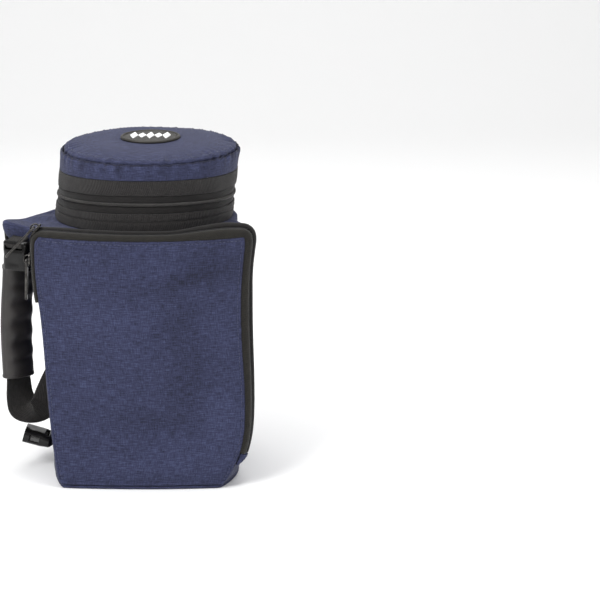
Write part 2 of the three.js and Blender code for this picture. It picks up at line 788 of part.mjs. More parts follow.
// Grip: a rounded sleeve with four finger hollows on the face toward the case, and a collar at each end
function handleGrip() {
  const foot = strapAlongAt(gripBottom);
  const head = strapAlongAt(gripTop);
  const steps = 20;
  const sides = 12;
  const length = gripTop - gripBottom;
  const outside = [];
  const bore = [];
  for (let step = 0; step <= steps; step += 1) {
    const share = step / steps;
    const frame = strapFrame(foot + (head - foot) * share);
    const fromEnd = Math.min(share, 1 - share) * length;
    const collar = fromEnd < 4 ? 0.9 : 0;
    const swell = 1.2 * Math.sin(Math.PI * share);
    const wave = Math.sin((((share - 0.5) * length) / fingerPitch + 0.5) * Math.PI) ** 2;
    const inHollows = smooth(12, 20, fromEnd);
    const hollow = fingerHollow * wave * inHollows;
    const outline = [];
    const slot = [];
    for (let side = 0; side < sides; side += 1) {
      const angle = (side * 360) / sides * radians;
      const cos = Math.cos(angle);
      const sin = Math.sin(angle);
      const halfWide = gripWidth / 2 + collar;
      const halfDeep = gripThickness / 2 + collar + swell - (sin > 0 ? hollow : 0);
      const across = Math.sign(cos) * Math.abs(cos) ** 0.8 * halfWide;
      const face = Math.sign(sin) * Math.abs(sin) ** 0.85 * halfDeep;
      outline.push([across, face]);
      const slotAcross = Math.sign(cos) * Math.min(1, Math.abs(cos) * 1.3) * (webbing / 2 + 3 * gap);
      const slotFace = Math.sign(sin) * Math.min(1, Math.abs(sin) * 3) * (webbingThickness / 2 + 3 * gap);
      slot.push([slotAcross, slotFace]);
    }
    outside.push(crossSection(frame, outline));
    bore.push(crossSection(frame, slot));
  }
  return wallGeometry(outside, bore, true);
}

// Buckle half: a flat socket open at its lower end, windows in both edges, and a bar for its webbing.
// Its width is along X, its length along Y and its thickness along Z.
function buckleHalf() {
  const innerWidth = buckleWidth - 2 * buckleWall;
  const innerThickness = buckleThickness - 2 * buckleWall;
  const socket = buckleLength - buckleHead;
  const socketMiddle = -buckleLength / 2 + socket / 2 - 1;
  const slot = buckleHead - barThickness - buckleWall;
  let solid = toSolid(roundedPlate(buckleWidth, buckleLength, buckleThickness, buckleCorner, buckleBevel));
  solid = solid.subtract(toSolid(box(innerWidth, socket, innerThickness, 0, socketMiddle, 0)));
  solid = solid.subtract(toSolid(box(buckleWidth + 2, socket * 0.4, innerThickness, 0, socketMiddle + 2, 0)));
  const slotMiddle = buckleLength / 2 - barThickness - slot / 2;
  solid = solid.subtract(toSolid(box(tabWebbing + 1, slot, buckleThickness + 2, 0, slotMiddle, 0)));
  return fromSolid(solid);
}

// Webbing tab: from under the bar, through the slot, over the bar and on to the seam, in the buckle's frame.
// The run gives its centre line past the bar as rows of y beyond the buckle's end and z.
function buckleTab(run) {
  const end = buckleLength / 2;
  const slotMiddle = end - barThickness - (buckleHead - barThickness - buckleWall) / 2;
  const over = buckleThickness / 2 + gap + tabThickness / 2;
  const spots = [[slotMiddle, -over * 0.7], [slotMiddle, over * 0.7], [slotMiddle + 1.4, over]];
  spots.push([end - 0.6, over], ...run.map(([y, z]) => [end + y, z]));
  const points = spots.map(([y, z]) => new THREE.Vector3(0, y, z));
  const curve = new THREE.CatmullRomCurve3(points, false, 'centripetal');
  const steps = 16;
  const rings = [];
  for (let step = 0; step <= steps; step += 1) {
    const point = curve.getPointAt(step / steps);
    const tangent = curve.getTangentAt(step / steps);
    const face = new THREE.Vector3(0, -tangent.z, tangent.y);
    const corner = (across, side) => point.clone()
      .addScaledVector(face, (side * tabThickness) / 2)
      .add(new THREE.Vector3(across, 0, 0));
    const half = tabWebbing / 2;
    rings.push([corner(-half, -1), corner(half, -1), corner(half, 1), corner(-half, 1)]);
  }
  return barGeometry(rings);
}

// Zip slider: a flat deck over the coil and an arch along it. The pull's pin lies across under the arch.
const deckThickness = 1.6;
const pinReach = pinRadius * Math.SQRT2;
const pinHeight = deckThickness / 2 + gap + pinReach;
const archFoot = pinHeight + pinReach + gap;
const archThickness = 1.2;
const archWidth = 2.2;
const pillar = 1.6;

function zipSlider() {
  const pillarSpot = pinReach + gap + pillar / 2;
  const pillarHeight = archFoot + archThickness / 2;
  let solid = toSolid(roundedPlate(sliderWidth, sliderLength, deckThickness, 2.4, 0.4));
  for (const side of [-1, 1]) {
    solid = solid.add(toSolid(box(archWidth, pillar, pillarHeight, 0, side * pillarSpot, pillarHeight / 2)));
  }
  const arch = box(archWidth, 2 * pillarSpot + pillar, archThickness, 0, 0, archFoot + archThickness / 2);
  return fromSolid(solid.add(toSolid(arch)));
}

// Pull tab: a flat bar hung by its square pin end, with an eye for the arch and a slot near its free end
function zipPull() {
  const eyeWidth = archWidth + 3 * gap;
  const eyeLength = 5.4;
  const plate = roundedPlate(pullWidth, pullLength, 2 * pinRadius, 2.6, 0.4);
  let solid = toSolid(plate.translate(0, pinRadius - pullLength / 2, 0));
  solid = solid.subtract(toSolid(box(eyeWidth, eyeLength, 4 * pinRadius, 0, -pinRadius - eyeLength / 2, 0)));
  const slot = roundedPlate(0.46 * pullWidth, 0.24 * pullLength, 4 * pinRadius, 0.22 * pullWidth, 0);
  solid = solid.subtract(toSolid(slot.translate(0, -0.78 * pullLength, 0)));
  return fromSolid(solid);
}

// Places a group so that its local axes point along the given directions
function placeGroup(origin, xAxis, yAxis) {
  const group = new THREE.Group();
  const zAxis = new THREE.Vector3().crossVectors(xAxis, yAxis).normalize();
  const square = new THREE.Vector3().crossVectors(yAxis, zAxis).normalize();
  const axes = new THREE.Matrix4().makeBasis(square, yAxis.clone().normalize(), zAxis);
  group.quaternion.setFromRotationMatrix(axes);
  group.position.copy(origin);
  tefillinCase.add(group);
  return group;
}

// A slider and its pull: normal points away from the zip, forward along it, past the coil's outer side
function addSlider(sliderName, pullName, onCoil, normal, forward) {
  const across = new THREE.Vector3().crossVectors(forward, normal);
  const origin = onCoil.clone().addScaledVector(normal, gap + deckThickness / 2);
  const group = placeGroup(origin, across, forward);
  addPart(sliderName, zipSlider(), 'metal', group);
  const pull = addPart(pullName, zipPull(), 'metal', group);
  pull.position.set(0, 0, pinHeight);
  return group;
}

// The spot on the pocket zip's coil at a distance from its left end, with its outward and forward directions
function coilSpot(distance) {
  const along = distance / zipLength;
  const next = Math.max(1, zipRun.findIndex((spot) => spot.along >= along));
  const before = zipRun[next - 1];
  const after = zipRun[next];
  const share = (along - before.along) / (after.along - before.along);
  const reach = 0.94 * zipRise + pocketCoil * 0.8;
  const spot = besideZip(before, reach, coilBack).lerp(besideZip(after, reach, coilBack), share);
  const forward = after.point.clone().sub(before.point).normalize();
  const normal = new THREE.Vector3().crossVectors(forward, new THREE.Vector3(0, 1, 0)).normalize();
  return { spot, forward, normal };
}

// Assembly: body and pocket
addPart('base_panel', basePlate(), 'cloth');
addPart('body_wall', bodyWall(), 'cloth');
addPart('shoulder_panel', shoulderPanel(), 'cloth');
addPart('front_panel', frontPanel(), 'cloth');
addPart('pocket_side_left', pocketSide(-1), 'cloth');
addPart('pocket_side_right', pocketSide(1), 'cloth');
addPart('pocket_zip_front_tape', zipBar(frontTapeSection), 'tape');
addPart('pocket_zip_coil', zipBar(coilSection), 'coil');
addPart('pocket_zip_back_tape', zipBar(backTapeSection), 'tape');
addPart('pocket_zip_end_tab', zipEndTab(), 'cloth');

// Collar and lid
addPart('collar_lower_band', band(collarFoot, lowerBandHeight, collarRadius, collarWall), 'tape');
addPart('lid_zip_lower_tape', band(lowerTapeFoot, zipTapeHeight, collarRadius - tapeRecess, tapeWall), 'tape');
addPart('lid_zip_coil', lidCoilRing(), 'coil');
addPart('lid_zip_upper_tape', band(upperTapeFoot, zipTapeHeight, collarRadius - tapeRecess, tapeWall), 'tape');
addPart('collar_upper_band', band(upperBandFoot, upperBandHeight, collarRadius, collarWall), 'tape');
addPart('lid_band', lidBand(), 'cloth');
addPart('lid_top', lidTop(), 'cloth');

addPart('lid_badge', badgeDisc(), 'badge');
addPart('badge_motif', badgeMotif(), 'motif');

// Handle
addPart('handle_strap', handleStrap(), 'webbing');
addPart('handle_grip', handleGrip(), 'grip');

// Zip sliders
const upperSpot = coilSpot(upperSliderRun);
addSlider('pocket_slider_upper', 'pocket_pull_upper', upperSpot.spot, upperSpot.normal, upperSpot.forward);
const lowerSpot = coilSpot(lowerSliderRun);
addSlider('pocket_slider_lower', 'pocket_pull_lower', lowerSpot.spot, lowerSpot.normal, lowerSpot.forward);
const lidSliderAngle = 112;
const lidRadial = onPlan(lidSliderAngle, 1, 0);
const lidForward = onPlan(lidSliderAngle - 90, 1, 0);
const lidCoilMiddle = coilFoot + lidCoil / 2;
const lidCoilSpot = onPlan(lidSliderAngle, collarRadius - 0.1, lidCoilMiddle + 2.2);
lidCoilSpot.x += lidLean * (lidCoilMiddle - collarFoot);
addSlider('lid_zip_slider', 'lid_pull_tab', lidCoilSpot, lidRadial, lidForward);

// Buckle halves on their webbing tabs: one hangs before the pulled-out corner, one points out of the side seam
const upperTurn = 26;
const upperStand = 6.8;
const upperDrop = 24;
const upperSeam = 201.5;
const upperSeamShare = 0.956;
const upperReach = bodyReach(upperSeam, upperSeamShare * bodyHeight);
const upperFacing = onPlan(270 - upperTurn, 1, 0);
const upperBuckle = placeGroup(
  onPlan(upperSeam, upperReach, bodyHeight - upperDrop).addScaledVector(upperFacing, upperStand),
  onPlan(-upperTurn, 1, 0),
  new THREE.Vector3(0, 0, 1),
);
const upperFlat = gap + tabThickness / 2 - upperStand;
const upperRun = [[1.4, 2.2], [2.2, -1.4], [3.2, upperFlat * 0.92], [5.2, upperFlat]];
addPart('upper_buckle', buckleHalf(), 'buckle', upperBuckle);
addPart('upper_buckle_tab', buckleTab(upperRun), 'webbing', upperBuckle);

const lowerRise = 16;
const lowerHeight = 19.3;
const lowerTabReach = 4;
const lowerSeam = sidePoint(lowerHeight, -1, 1);
const lowerReach = buckleLength / 2 + lowerTabReach + gap;
const lowerLift = lowerReach * Math.sin(lowerRise * radians);
const lowerBuckle = placeGroup(
  lowerSeam.add(onPlan(180, lowerReach * Math.cos(lowerRise * radians), lowerLift)),
  new THREE.Vector3(0, 1, 0),
  new THREE.Vector3(Math.cos(lowerRise * radians), 0, -Math.sin(lowerRise * radians)),
);
addPart('lower_buckle', buckleHalf(), 'buckle', lowerBuckle);
addPart('lower_buckle_tab', buckleTab([[1.6, 2.6], [2.6, 1.2], [4, 0.6]]), 'webbing', lowerBuckle);

export default tefillinCase;
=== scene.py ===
import json
import bpy
import numpy as np
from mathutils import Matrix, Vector


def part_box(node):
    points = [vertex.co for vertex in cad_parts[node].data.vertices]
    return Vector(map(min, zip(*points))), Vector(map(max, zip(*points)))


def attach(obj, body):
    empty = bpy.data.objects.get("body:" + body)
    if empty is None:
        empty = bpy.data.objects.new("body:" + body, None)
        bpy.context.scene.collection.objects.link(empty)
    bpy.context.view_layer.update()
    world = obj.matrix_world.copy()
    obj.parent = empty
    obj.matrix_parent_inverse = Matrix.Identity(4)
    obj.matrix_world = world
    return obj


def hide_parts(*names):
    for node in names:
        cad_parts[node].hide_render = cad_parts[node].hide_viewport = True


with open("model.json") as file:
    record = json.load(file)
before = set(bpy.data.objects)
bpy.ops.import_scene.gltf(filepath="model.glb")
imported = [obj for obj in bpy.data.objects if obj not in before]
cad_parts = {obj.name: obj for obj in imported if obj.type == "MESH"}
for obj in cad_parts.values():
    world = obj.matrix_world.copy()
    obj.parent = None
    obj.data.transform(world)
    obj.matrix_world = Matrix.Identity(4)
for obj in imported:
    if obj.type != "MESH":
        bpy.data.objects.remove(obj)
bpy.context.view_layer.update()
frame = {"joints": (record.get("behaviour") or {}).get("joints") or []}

# Body cylinder. Navy melange polyester over a stiff foam sheet, rolled up and closed by a seam at the back.
# Its upper left corner is pulled out to a soft ear, where the handle is sewn on.
MM = 0.001
BODY_RADIUS = 76.0
BODY_HEIGHT = 205.5
WALL_FOOT = 2.3
WALL_TOP = 204.4
CLOTH = 1.9
WAVE_SPAN = 205.0
BACK_SEAM = 92.0
SEAM_SINK = 1.0
SEAM_PUCKER = 0.35
FOOT_TURN = 1.5
TOP_TURN = 1.6
HEM_SINK = 0.8
HEM_HEIGHT = 9.0
EAR_ANGLE = 195.5
EAR_REACH = 41.0
EAR_SPREAD = 47.0
EAR_ROUNDING = 0.03
EAR_SHARPNESS = 2.7
EAR_CURL = 2.0
EAR_HEIGHTS = (0.00, 0.70, 0.76, 0.82, 0.87, 0.91, 0.95, 1.00)
EAR_SHARES = (0.00, 0.00, 0.02, 0.10, 0.34, 0.70, 0.93, 1.00)
NAVY_DARK = (0.0115, 0.0125, 0.027, 1)
NAVY = (0.0275, 0.0315, 0.072, 1)
NAVY_LIGHT = (0.056, 0.065, 0.137, 1)
# How far one unit of painted shade moves the cloth's colour along its ramp.
SHADE_STEP = 0.05
THREAD_PITCH = 0.62


def through(at, places, values):
    """Smooth curve through the rows of a table: cubic between two rows, sloped as their neighbours are."""
    places, values = np.asarray(places, float), np.asarray(values, float)
    slopes = np.gradient(values, places)
    at = np.clip(at, places[0], places[-1])
    row = np.clip(np.searchsorted(places, at, side="right") - 1, 0, len(places) - 2)
    span = places[row + 1] - places[row]
    t = (at - places[row]) / span
    return ((2 * t**3 - 3 * t**2 + 1) * values[row] + (t**3 - 2 * t**2 + t) * span * slopes[row]
            + (3 * t**2 - 2 * t**3) * values[row + 1] + (t**3 - t**2) * span * slopes[row + 1])


def ease(low, high, at):
    """From 0 at low to 1 at high, level at both ends: three times the share squared less twice its cube."""
    share = np.clip((at - low) / (high - low), 0, 1)
    return share * share * (3 - 2 * share)


def hump(distance, width):
    """Bell curve of height 1, about width wide to each side: e to the less square of distance over width."""
    return np.exp(-(distance / width) ** 2)


def waves(along, lowest, highest, seed, count=12):
    """Uneven ripple along a line: a sum of sines between two counts per unit, each with its own start."""
    rng = np.random.default_rng(seed)
    counts = np.round(rng.uniform(lowest, highest, count))
    starts = rng.uniform(0, 2 * np.pi, count)
    return sum(np.sin(2 * np.pi * c * along + s) for c, s in zip(counts, starts)) / np.sqrt(count)


def stacked(x, y, z):
    """Points from three arrays of one shape, or of shapes that spread to one."""
    return np.stack(np.broadcast_arrays(x, y, z), axis=-1).astype(float)


def surface(name, points, wrap=False, close=False, caps=()):
    """Mesh through a grid of points in millimetres, or through a row of such grids. wrap joins each row's end
    to its start, and close the last row to the first. caps names the rows, 0 or -1, that one face closes. Its
    UV map is the distance along the rows and up the columns in metres, so weaves keep their size."""
    rows, columns = points.shape[-3:-1]
    grids = points.reshape(-1, rows, columns, 3)
    across = columns if wrap else columns - 1
    up = rows if close else rows - 1
    row, column = np.mgrid[0:up, 0:across]
    upper, right = (row + 1) % rows, (column + 1) % columns
    corners = [(row, column), (row, right), (upper, right), (upper, column)]
    one = np.stack([r * columns + c for r, c in corners], axis=-1).reshape(-1, 4)
    starts = np.arange(len(grids)) * rows * columns
    faces = (one[None] + starts[:, None, None]).reshape(-1, 4).tolist()
    for cap in caps:
        ring = np.arange(columns)[::-1] if cap == 0 else (rows - 1) * columns + np.arange(columns)
        faces += (starts[:, None] + ring).tolist()
    wide = np.concatenate([grids, grids[:, :, :1]], axis=2) if wrap else grids
    tall = np.concatenate([wide, wide[:, :1]], axis=1) if close else wide
    u = np.cumsum(np.linalg.norm(np.diff(tall, axis=2, prepend=tall[:, :, :1]), axis=-1), axis=2)
    v = np.cumsum(np.linalg.norm(np.diff(tall, axis=1, prepend=tall[:, :1]), axis=-1), axis=1)
    middle = tall.shape[2] // 2
    u = (u - u[:, :, middle:middle + 1]) * MM
    v = np.broadcast_to(v[:, :, middle:middle + 1], u.shape) * MM
    places = [(row, column), (row, column + 1), (row + 1, column + 1), (row + 1, column)]
    mesh = bpy.data.meshes.new(name)
    mesh.from_pydata((grids.reshape(-1, 3) * MM).tolist(), [], faces)
    laid = mesh.uv_layers.new(name="laid")
    spread = np.stack([np.stack([u[:, r, c], v[:, r, c]], -1) for r, c in places], axis=3).ravel()
    cap_corners = columns * len(grids) * len(caps)
    laid.uv.foreach_set("vector", np.append(spread, np.zeros(2 * cap_corners)))
    mesh.polygons.foreach_set("use_smooth", [True] * len(faces))
    return mesh


def piece(mesh, finish, stands_for=(), body="case"):
    """Object for one finished piece: its material, the body it rides on and the CAD nodes it replaces."""
    made = bpy.data.objects.new(mesh.name, mesh)
    bpy.context.scene.collection.objects.link(made)
    mesh.materials.append(finish)
    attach(made, body)
    if stands_for:
        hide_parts(*stands_for)
    return made


def thicken(made, thickness):
    """Gives a skin its thickness, inwards from the outer face."""
    wall = made.modifiers.new("wall", "SOLIDIFY")
    wall.thickness = thickness * MM
    wall.offset = -1
    return made


def knot(tree, kind, sockets=None, **settings):
    """Adds one shader node, sets its options, and fills its inputs with numbers or links from other nodes."""
    made = tree.nodes.new("ShaderNode" + kind)
    for name, value in settings.items():
        setattr(made, name, value)
    for name, value in (sockets or {}).items():
        if isinstance(value, bpy.types.NodeSocket):
            tree.links.new(value, made.inputs[name])
        else:
            made.inputs[name].default_value = value
    return made


def blank(name, roughness, metallic=0.0, specular=0.5, sheen=0.0):
    """New material: its node tree and its shader, with the numbers that are the same all over the surface."""
    made = bpy.data.materials.new(name)
    made.use_nodes = True
    shader = made.node_tree.nodes["Principled BSDF"]
    shader.inputs["Roughness"].default_value = roughness
    shader.inputs["Metallic"].default_value = metallic
    shader.inputs["Specular IOR Level"].default_value = specular
    shader.inputs["Sheen Weight"].default_value = sheen
    return made, made.node_tree, shader


def coloured(tree, shader, factor, stops):
    """Colours the surface by a ramp through (place, colour) stops."""
    made = knot(tree, "ValToRGB", {"Fac": factor})
    line = made.color_ramp
    while len(line.elements) < len(stops):
        line.elements.new(0.5)
    for element, (place, colour) in zip(line.elements, stops):
        element.position = place
        element.color = colour
    tree.links.new(made.outputs["Color"], shader.inputs["Base Color"])


def glossed(tree, shader, factor, low, high):
    """Lets the roughness run from low to high with a factor."""
    rough = knot(tree, "MapRange", {"Value": factor, "To Min": low, "To Max": high})
    tree.links.new(rough.outputs["Result"], shader.inputs["Roughness"])


def embossed(tree, shader, height, strength, depth):
    """Presses a height into the surface, as deep as depth says in metres."""
    bump = knot(tree, "Bump", {"Height": height, "Strength": strength, "Distance": depth})
    tree.links.new(bump.outputs["Normal"], shader.inputs["Normal"])


def stretched(tree, source, scale, offset, detail=2.0):
    """Noise on a coordinate that is stretched by a scale for each axis."""
    mapped = knot(tree, "Mapping", {"Vector": source, "Location": offset, "Scale": scale}).outputs["Vector"]
    noise = knot(tree, "TexNoise", {"Vector": mapped, "Scale": 1.0, "Detail": detail, "Roughness": 0.6})
    return noise.outputs["Fac"]


def total(tree, *terms):
    """Weighted sum: each term is a pair of socket and weight."""
    so_far = 0.0
    for socket, weight in terms:
        so_far = knot(tree, "Math", {0: socket, 1: weight, 2: so_far}, operation="MULTIPLY_ADD").outputs[0]
    return so_far


def thread_checks(tree, source, pitch):
    """Height of a plain weave on UV metres: threads that cross, one over and one under, one pitch apart."""
    scaled = knot(tree, "VectorMath", {0: source, "Scale": np.pi / (pitch * MM)}, operation="SCALE")
    parted = knot(tree, "SeparateXYZ", {"Vector": scaled.outputs["Vector"]})
    across = knot(tree, "Math", {0: parted.outputs["X"]}, operation="SINE")
    up = knot(tree, "Math", {0: parted.outputs["Y"]}, operation="SINE")
    return knot(tree, "Math", {0: across.outputs[0], 1: up.outputs[0]}, operation="MULTIPLY").outputs[0]


def melange(name, dark, middle, light):
    """Two-tone oxford cloth: short dark and light streaks of thread both ways, over a fine plain weave."""
    made, tree, shader = blank(name, roughness=0.82, specular=0.22, sheen=0.06)
    shader.inputs["Sheen Roughness"].default_value = 0.5
    laid = knot(tree, "UVMap", uv_map="laid").outputs["UV"]
    weft = stretched(tree, laid, (130, 1400, 1), (0, 0, 0))
    warp = stretched(tree, laid, (1400, 170, 1), (3, 5, 0))
    specks = stretched(tree, laid, (1300, 1300, 1), (7, 1, 0))
    clouds = stretched(tree, laid, (24, 30, 1), (2, 9, 0))
    # Painted shade and light: a piece's shade attribute moves its cloth darker or lighter along the ramp.
    shade = knot(tree, "Attribute", attribute_name="shade").outputs["Fac"]
    tone = total(tree, (weft, 0.42), (warp, 0.32), (specks, 0.18), (clouds, 0.08), (shade, SHADE_STEP))
    coloured(tree, shader, tone, [(0.37, dark), (0.50, middle), (0.63, light)])
    weave = thread_checks(tree, laid, THREAD_PITCH)
    embossed(tree, shader, total(tree, (weave, 0.5), (weft, 1.1), (warp, 0.8)), 0.55, 0.00022)
    glossed(tree, shader, tone, 0.9, 0.7)
    return made


def body_reach(angle, z):
    """Distance of the wall from the axis: the radius, plus a share of the ear's reach that falls off to both
    sides as a power and grows with height."""
    turn = np.abs((angle - EAR_ANGLE + 540) % 360 - 180) / EAR_SPREAD
    turn = np.sqrt(turn**2 + EAR_ROUNDING**2) - EAR_ROUNDING * 0.9
    pull = np.clip(1 - turn, 0, 1) ** EAR_SHARPNESS
    return BODY_RADIUS + EAR_REACH * pull * through(z / BODY_HEIGHT, EAR_HEIGHTS, EAR_SHARES)


def on_plan(angle, reach, z):
    """Point at an angle and a distance from the axis."""
    return stacked(reach * np.cos(np.radians(angle)), reach * np.sin(np.radians(angle)), z)


def curled(points):
    """Lifts the tip of the ear and lowers the cloth behind it, at the top only."""
    tip = on_plan(EAR_ANGLE, BODY_RADIUS + EAR_REACH, BODY_HEIGHT)
    away = np.hypot(points[..., 0] - tip[0], points[..., 1] - tip[1])
    lift = EAR_CURL * (hump(away, 15) - 0.75 * hump(away - 27, 13))
    return points + stacked(0, 0, lift * ease(0.92, 0.99, points[..., 2] / BODY_HEIGHT))


def body_skin(angle, z):
    """The wall: its reach, less a sunk seam and turned-in edges, plus dents and ripples made of sines."""
    reach = body_reach(angle, z)
    back = ease(10, 60, angle) * (1 - ease(150, 185, angle))
    reach = reach + back * (0.9 * np.sin(np.radians(angle * 3 + 20)) * np.sin(z / 31 + 0.6)
                            + 0.6 * np.sin(np.radians(angle * 5)) * np.sin(z / 19 + 2.0))
    ear = ease(0.74, 0.90, z / BODY_HEIGHT) * hump(angle - EAR_ANGLE - 2, 34)
    reach = reach + ear * 0.8 * np.sin(np.radians(angle * 16 + z * 2.2))
    from_seam = angle - BACK_SEAM
    reach = reach - SEAM_SINK * hump(from_seam, 0.9)
    reach = reach + SEAM_PUCKER * hump(from_seam, 5) * waves(z / WAVE_SPAN, 14, 26, 5)
    reach = reach - FOOT_TURN * hump(z - WALL_FOOT, 1.1) - TOP_TURN * hump(z - WALL_TOP, 1.2)
    reach = reach - HEM_SINK * hump(z - HEM_HEIGHT, 0.7)
    return curled(on_plan(angle, reach, z))


cloth_finish = melange("navy_melange", NAVY_DARK, NAVY, NAVY_LIGHT)
angles = np.linspace(0, 360, 300, endpoint=False)[None, :]
heights = np.concatenate([np.linspace(WALL_FOOT, 12, 14), np.linspace(13.5, 196, 100),
                          np.linspace(197, WALL_TOP, 14)])[:, None]
wall = surface("body_cloth", body_skin(angles, heights), wrap=True)
thicken(piece(wall, cloth_finish, ["body_wall"]), CLOTH)

# Pocket front. One flat panel of the same cloth over thin padding, hemmed all round and stitched to the zip.
# It bows out in the middle and has the shallow dents of cloth that has been handled.
POCKET_TOP = 203.0
POCKET_HALF = 82.0
POCKET_FRONT = 88.0
CORNER_BACK = (3.0, 14.0)
SEAM_INSET = 3.0
PANEL_THICK = 1.8
PANEL_ROWS = (0.0, 0.03, 0.075, 0.13, 0.2, 0.31, 0.42, 0.55, 0.68, 0.8, 0.89, 0.95, 0.985, 1.0)
PANEL_LEFT = (0.78, 0.812, 0.83, 0.846, 0.865, 0.888, 0.908, 0.928, 0.954, 0.988, 1.0, 0.998, 0.982, 0.952)
PANEL_RIGHT = (0.79, 0.85, 0.905, 0.965, 1.005, 1.022, 1.015, 0.996, 0.986, 0.992, 1.01, 1.024, 1.028, 1.02)
DENTS = (
    # across, up, wide, tall, turn in degrees, depth in mm
    (0.56, 0.92, 0.52, 0.042, 9, 2.6),
    (0.50, 0.62, 0.18, 0.210, 8, 2.6),
    (0.22, 0.25, 0.36, 0.060, -6, 2.6),
    (-0.10, 0.50, 0.50, 0.300, 0, -2.2),
    (0.34, 0.09, 0.50, 0.060, 4, -1.8),
)
# Painted shade and painted light on the pocket's front: soft patches, darker and lighter than the rest,
# placed where its dents are shaded and lit.
SHADES = (
    # the same five measures of a patch, then its painted shade when below 0 and painted light when above 0:
    # how much darker or lighter than the rest it is
    (0.42, 0.84, 0.55, 0.040, 14, -1.0),
    (0.62, 0.88, 0.30, 0.060, 20, -0.5),
    (0.44, 0.58, 0.20, 0.170, 6, -0.8),
    (0.36, 0.40, 0.26, 0.080, 30, -0.6),
    (0.05, 0.28, 0.40, 0.045, -8, -0.5),
    (0.10, 0.10, 0.80, 0.060, 3, 0.7),
    (0.74, 0.25, 0.16, 0.160, 0, 0.6),
    (-0.35, 0.68, 0.36, 0.120, 20, 0.4),
)


def patches(table, across, z):
    """Sum of soft oval patches on the panel, each as big as its last number says in its middle."""
    amount = 0 * across * z
    for place, up, wide, tall, turn, size in table:
        dx = across - place
        dz = (z / POCKET_TOP - up) * POCKET_TOP / POCKET_HALF
        cos, sin = np.cos(np.radians(turn)), np.sin(np.radians(turn))
        amount = amount + size * hump(dx * cos + dz * sin, wide) * hump(dz * cos - dx * sin, tall * 2.4)
    return amount


def shaded(made, amount):
    """Stores painted shade and light for each vertex of a piece: how much darker or lighter its cloth is
    drawn.
    """
    mark = made.data.attributes.new("shade", "FLOAT", "POINT")
    mark.data.foreach_set("value", np.ravel(amount).astype(float))
    return made


def panel_side(z, side):
    """Side edge of the panel at a height: side is -1 for the left edge and 1 for the right."""
    level = (z - WALL_FOOT) / (POCKET_TOP - WALL_FOOT)
    return side * through(level, PANEL_ROWS, PANEL_LEFT if side < 0 else PANEL_RIGHT) * POCKET_HALF


def panel_depth(across, z):
    """How far forward the panel is: set back toward its side edges by a power of the share across, more so
    higher up, with the dents pressed in."""
    back = CORNER_BACK[0] + CORNER_BACK[1] * ease(0, 0.9, z / POCKET_TOP)
    fade = 1 - np.minimum(1, np.abs(across)) ** 4
    return -POCKET_FRONT + back * np.abs(across) ** 2.2 + fade * patches(DENTS, across, z)


def panel_point(across, z):
    """Point of the panel at a share across it, from -1 to 1, and a height."""
    left, right = panel_side(z, -1), panel_side(z, 1)
    return stacked((left + right) / 2 + (right - left) / 2 * across, panel_depth(across, z), z)


def panel_skin(across, z):
    """The panel with its hem: bell curves of the distance to its edge raise the edge and sink the line of
    stitches, and sines along that line pucker it."""
    points = panel_point(across, z)
    half = (panel_side(z, 1) - panel_side(z, -1)) / 2
    side_in = (1 - np.abs(across)) * half
    top_in = POCKET_TOP - z
    foot_in = z - WALL_FOOT
    edge_in = np.minimum(np.minimum(side_in, top_in), foot_in)
    along = np.where(side_in < top_in, z / WAVE_SPAN, (across + 1) / 2)
    pucker = waves(along, 16, 30, 11) * 0.28 * hump(edge_in - SEAM_INSET, 3.2)
    sunk = 0.4 * hump(edge_in - SEAM_INSET, 0.7) - 0.25 * hump(edge_in - 1.3, 1.0) + 1.1 * hump(edge_in, 0.8)
    ripple = 0.14 * waves(across / 2 + z / 900, 2, 7, 21) * waves(z / WAVE_SPAN, 2, 6, 22)
    points[..., 1] += sunk + pucker + ripple
    return points


across = np.concatenate([np.linspace(-1, -0.93, 10), np.linspace(-0.92, 0.92, 118),
                         np.linspace(0.93, 1, 10)])[None, :]
rises = np.concatenate([np.linspace(WALL_FOOT, 9, 12), np.linspace(10.5, 195, 122),
                        np.linspace(196.2, POCKET_TOP, 12)])[:, None]
front = piece(surface("pocket_front", panel_skin(across, rises)), cloth_finish, ["front_panel"])
# The front's cloth colour takes painted shade and light from the SHADES patches.
thicken(shaded(front, patches(SHADES, across, rises)), PANEL_THICK)

# Topstitching. Blue polyester thread runs round the panel just inside its hem, in stitches about 3 mm long
# that dip into the cloth at both ends.
STITCH_LENGTH = 2.5
STITCH_PITCH = 3.2
STITCH_RADIUS = 0.3
THREAD_COLOUR = (0.055, 0.064, 0.130, 1)


def measured(line):
    """Distance of each point along a line from its start."""
    return np.concatenate([[0], np.cumsum(np.linalg.norm(np.diff(line, axis=0), axis=1))])


def stitch_row(name, line, facing):
    """Row of stitches along a line: short rods, thickest and highest in their middle. facing points off the
    cloth."""
    reached = measured(line)
    facing = np.broadcast_to(facing, line.shape)
    share = np.linspace(-1, 1, 6)
    middles = np.arange(STITCH_PITCH, reached[-1] - STITCH_PITCH / 2, STITCH_PITCH)[:, None]
    spots = middles + share * STITCH_LENGTH / 2
    spine, off = [np.stack([np.interp(spots, reached, part[:, axis]) for axis in range(3)], -1)
                  for part in (line, facing)]
    forward = np.gradient(spine, axis=1)
    beside = np.cross(forward, off)
    beside /= np.linalg.norm(beside, axis=-1, keepdims=True)
    bulge = np.sqrt(1.002 - share**2)[:, None]
    turn = np.linspace(0, 2 * np.pi, 6, endpoint=False)[:, None]
    rings = (spine + off * 0.25 * bulge)[:, :, None] + STITCH_RADIUS * bulge[:, None] * (
        off[:, :, None] * np.cos(turn) + beside[:, :, None] * np.sin(turn))
    return piece(surface(name, rings, wrap=True, caps=(0, -1)), thread_finish)


def lightened(colour, factor, added=0.0):
    """The same colour, times a factor that is above 1 for a lighter one, with a little grey added."""
    return tuple(min(1.0, part * factor + added) for part in colour[:3]) + (1,)


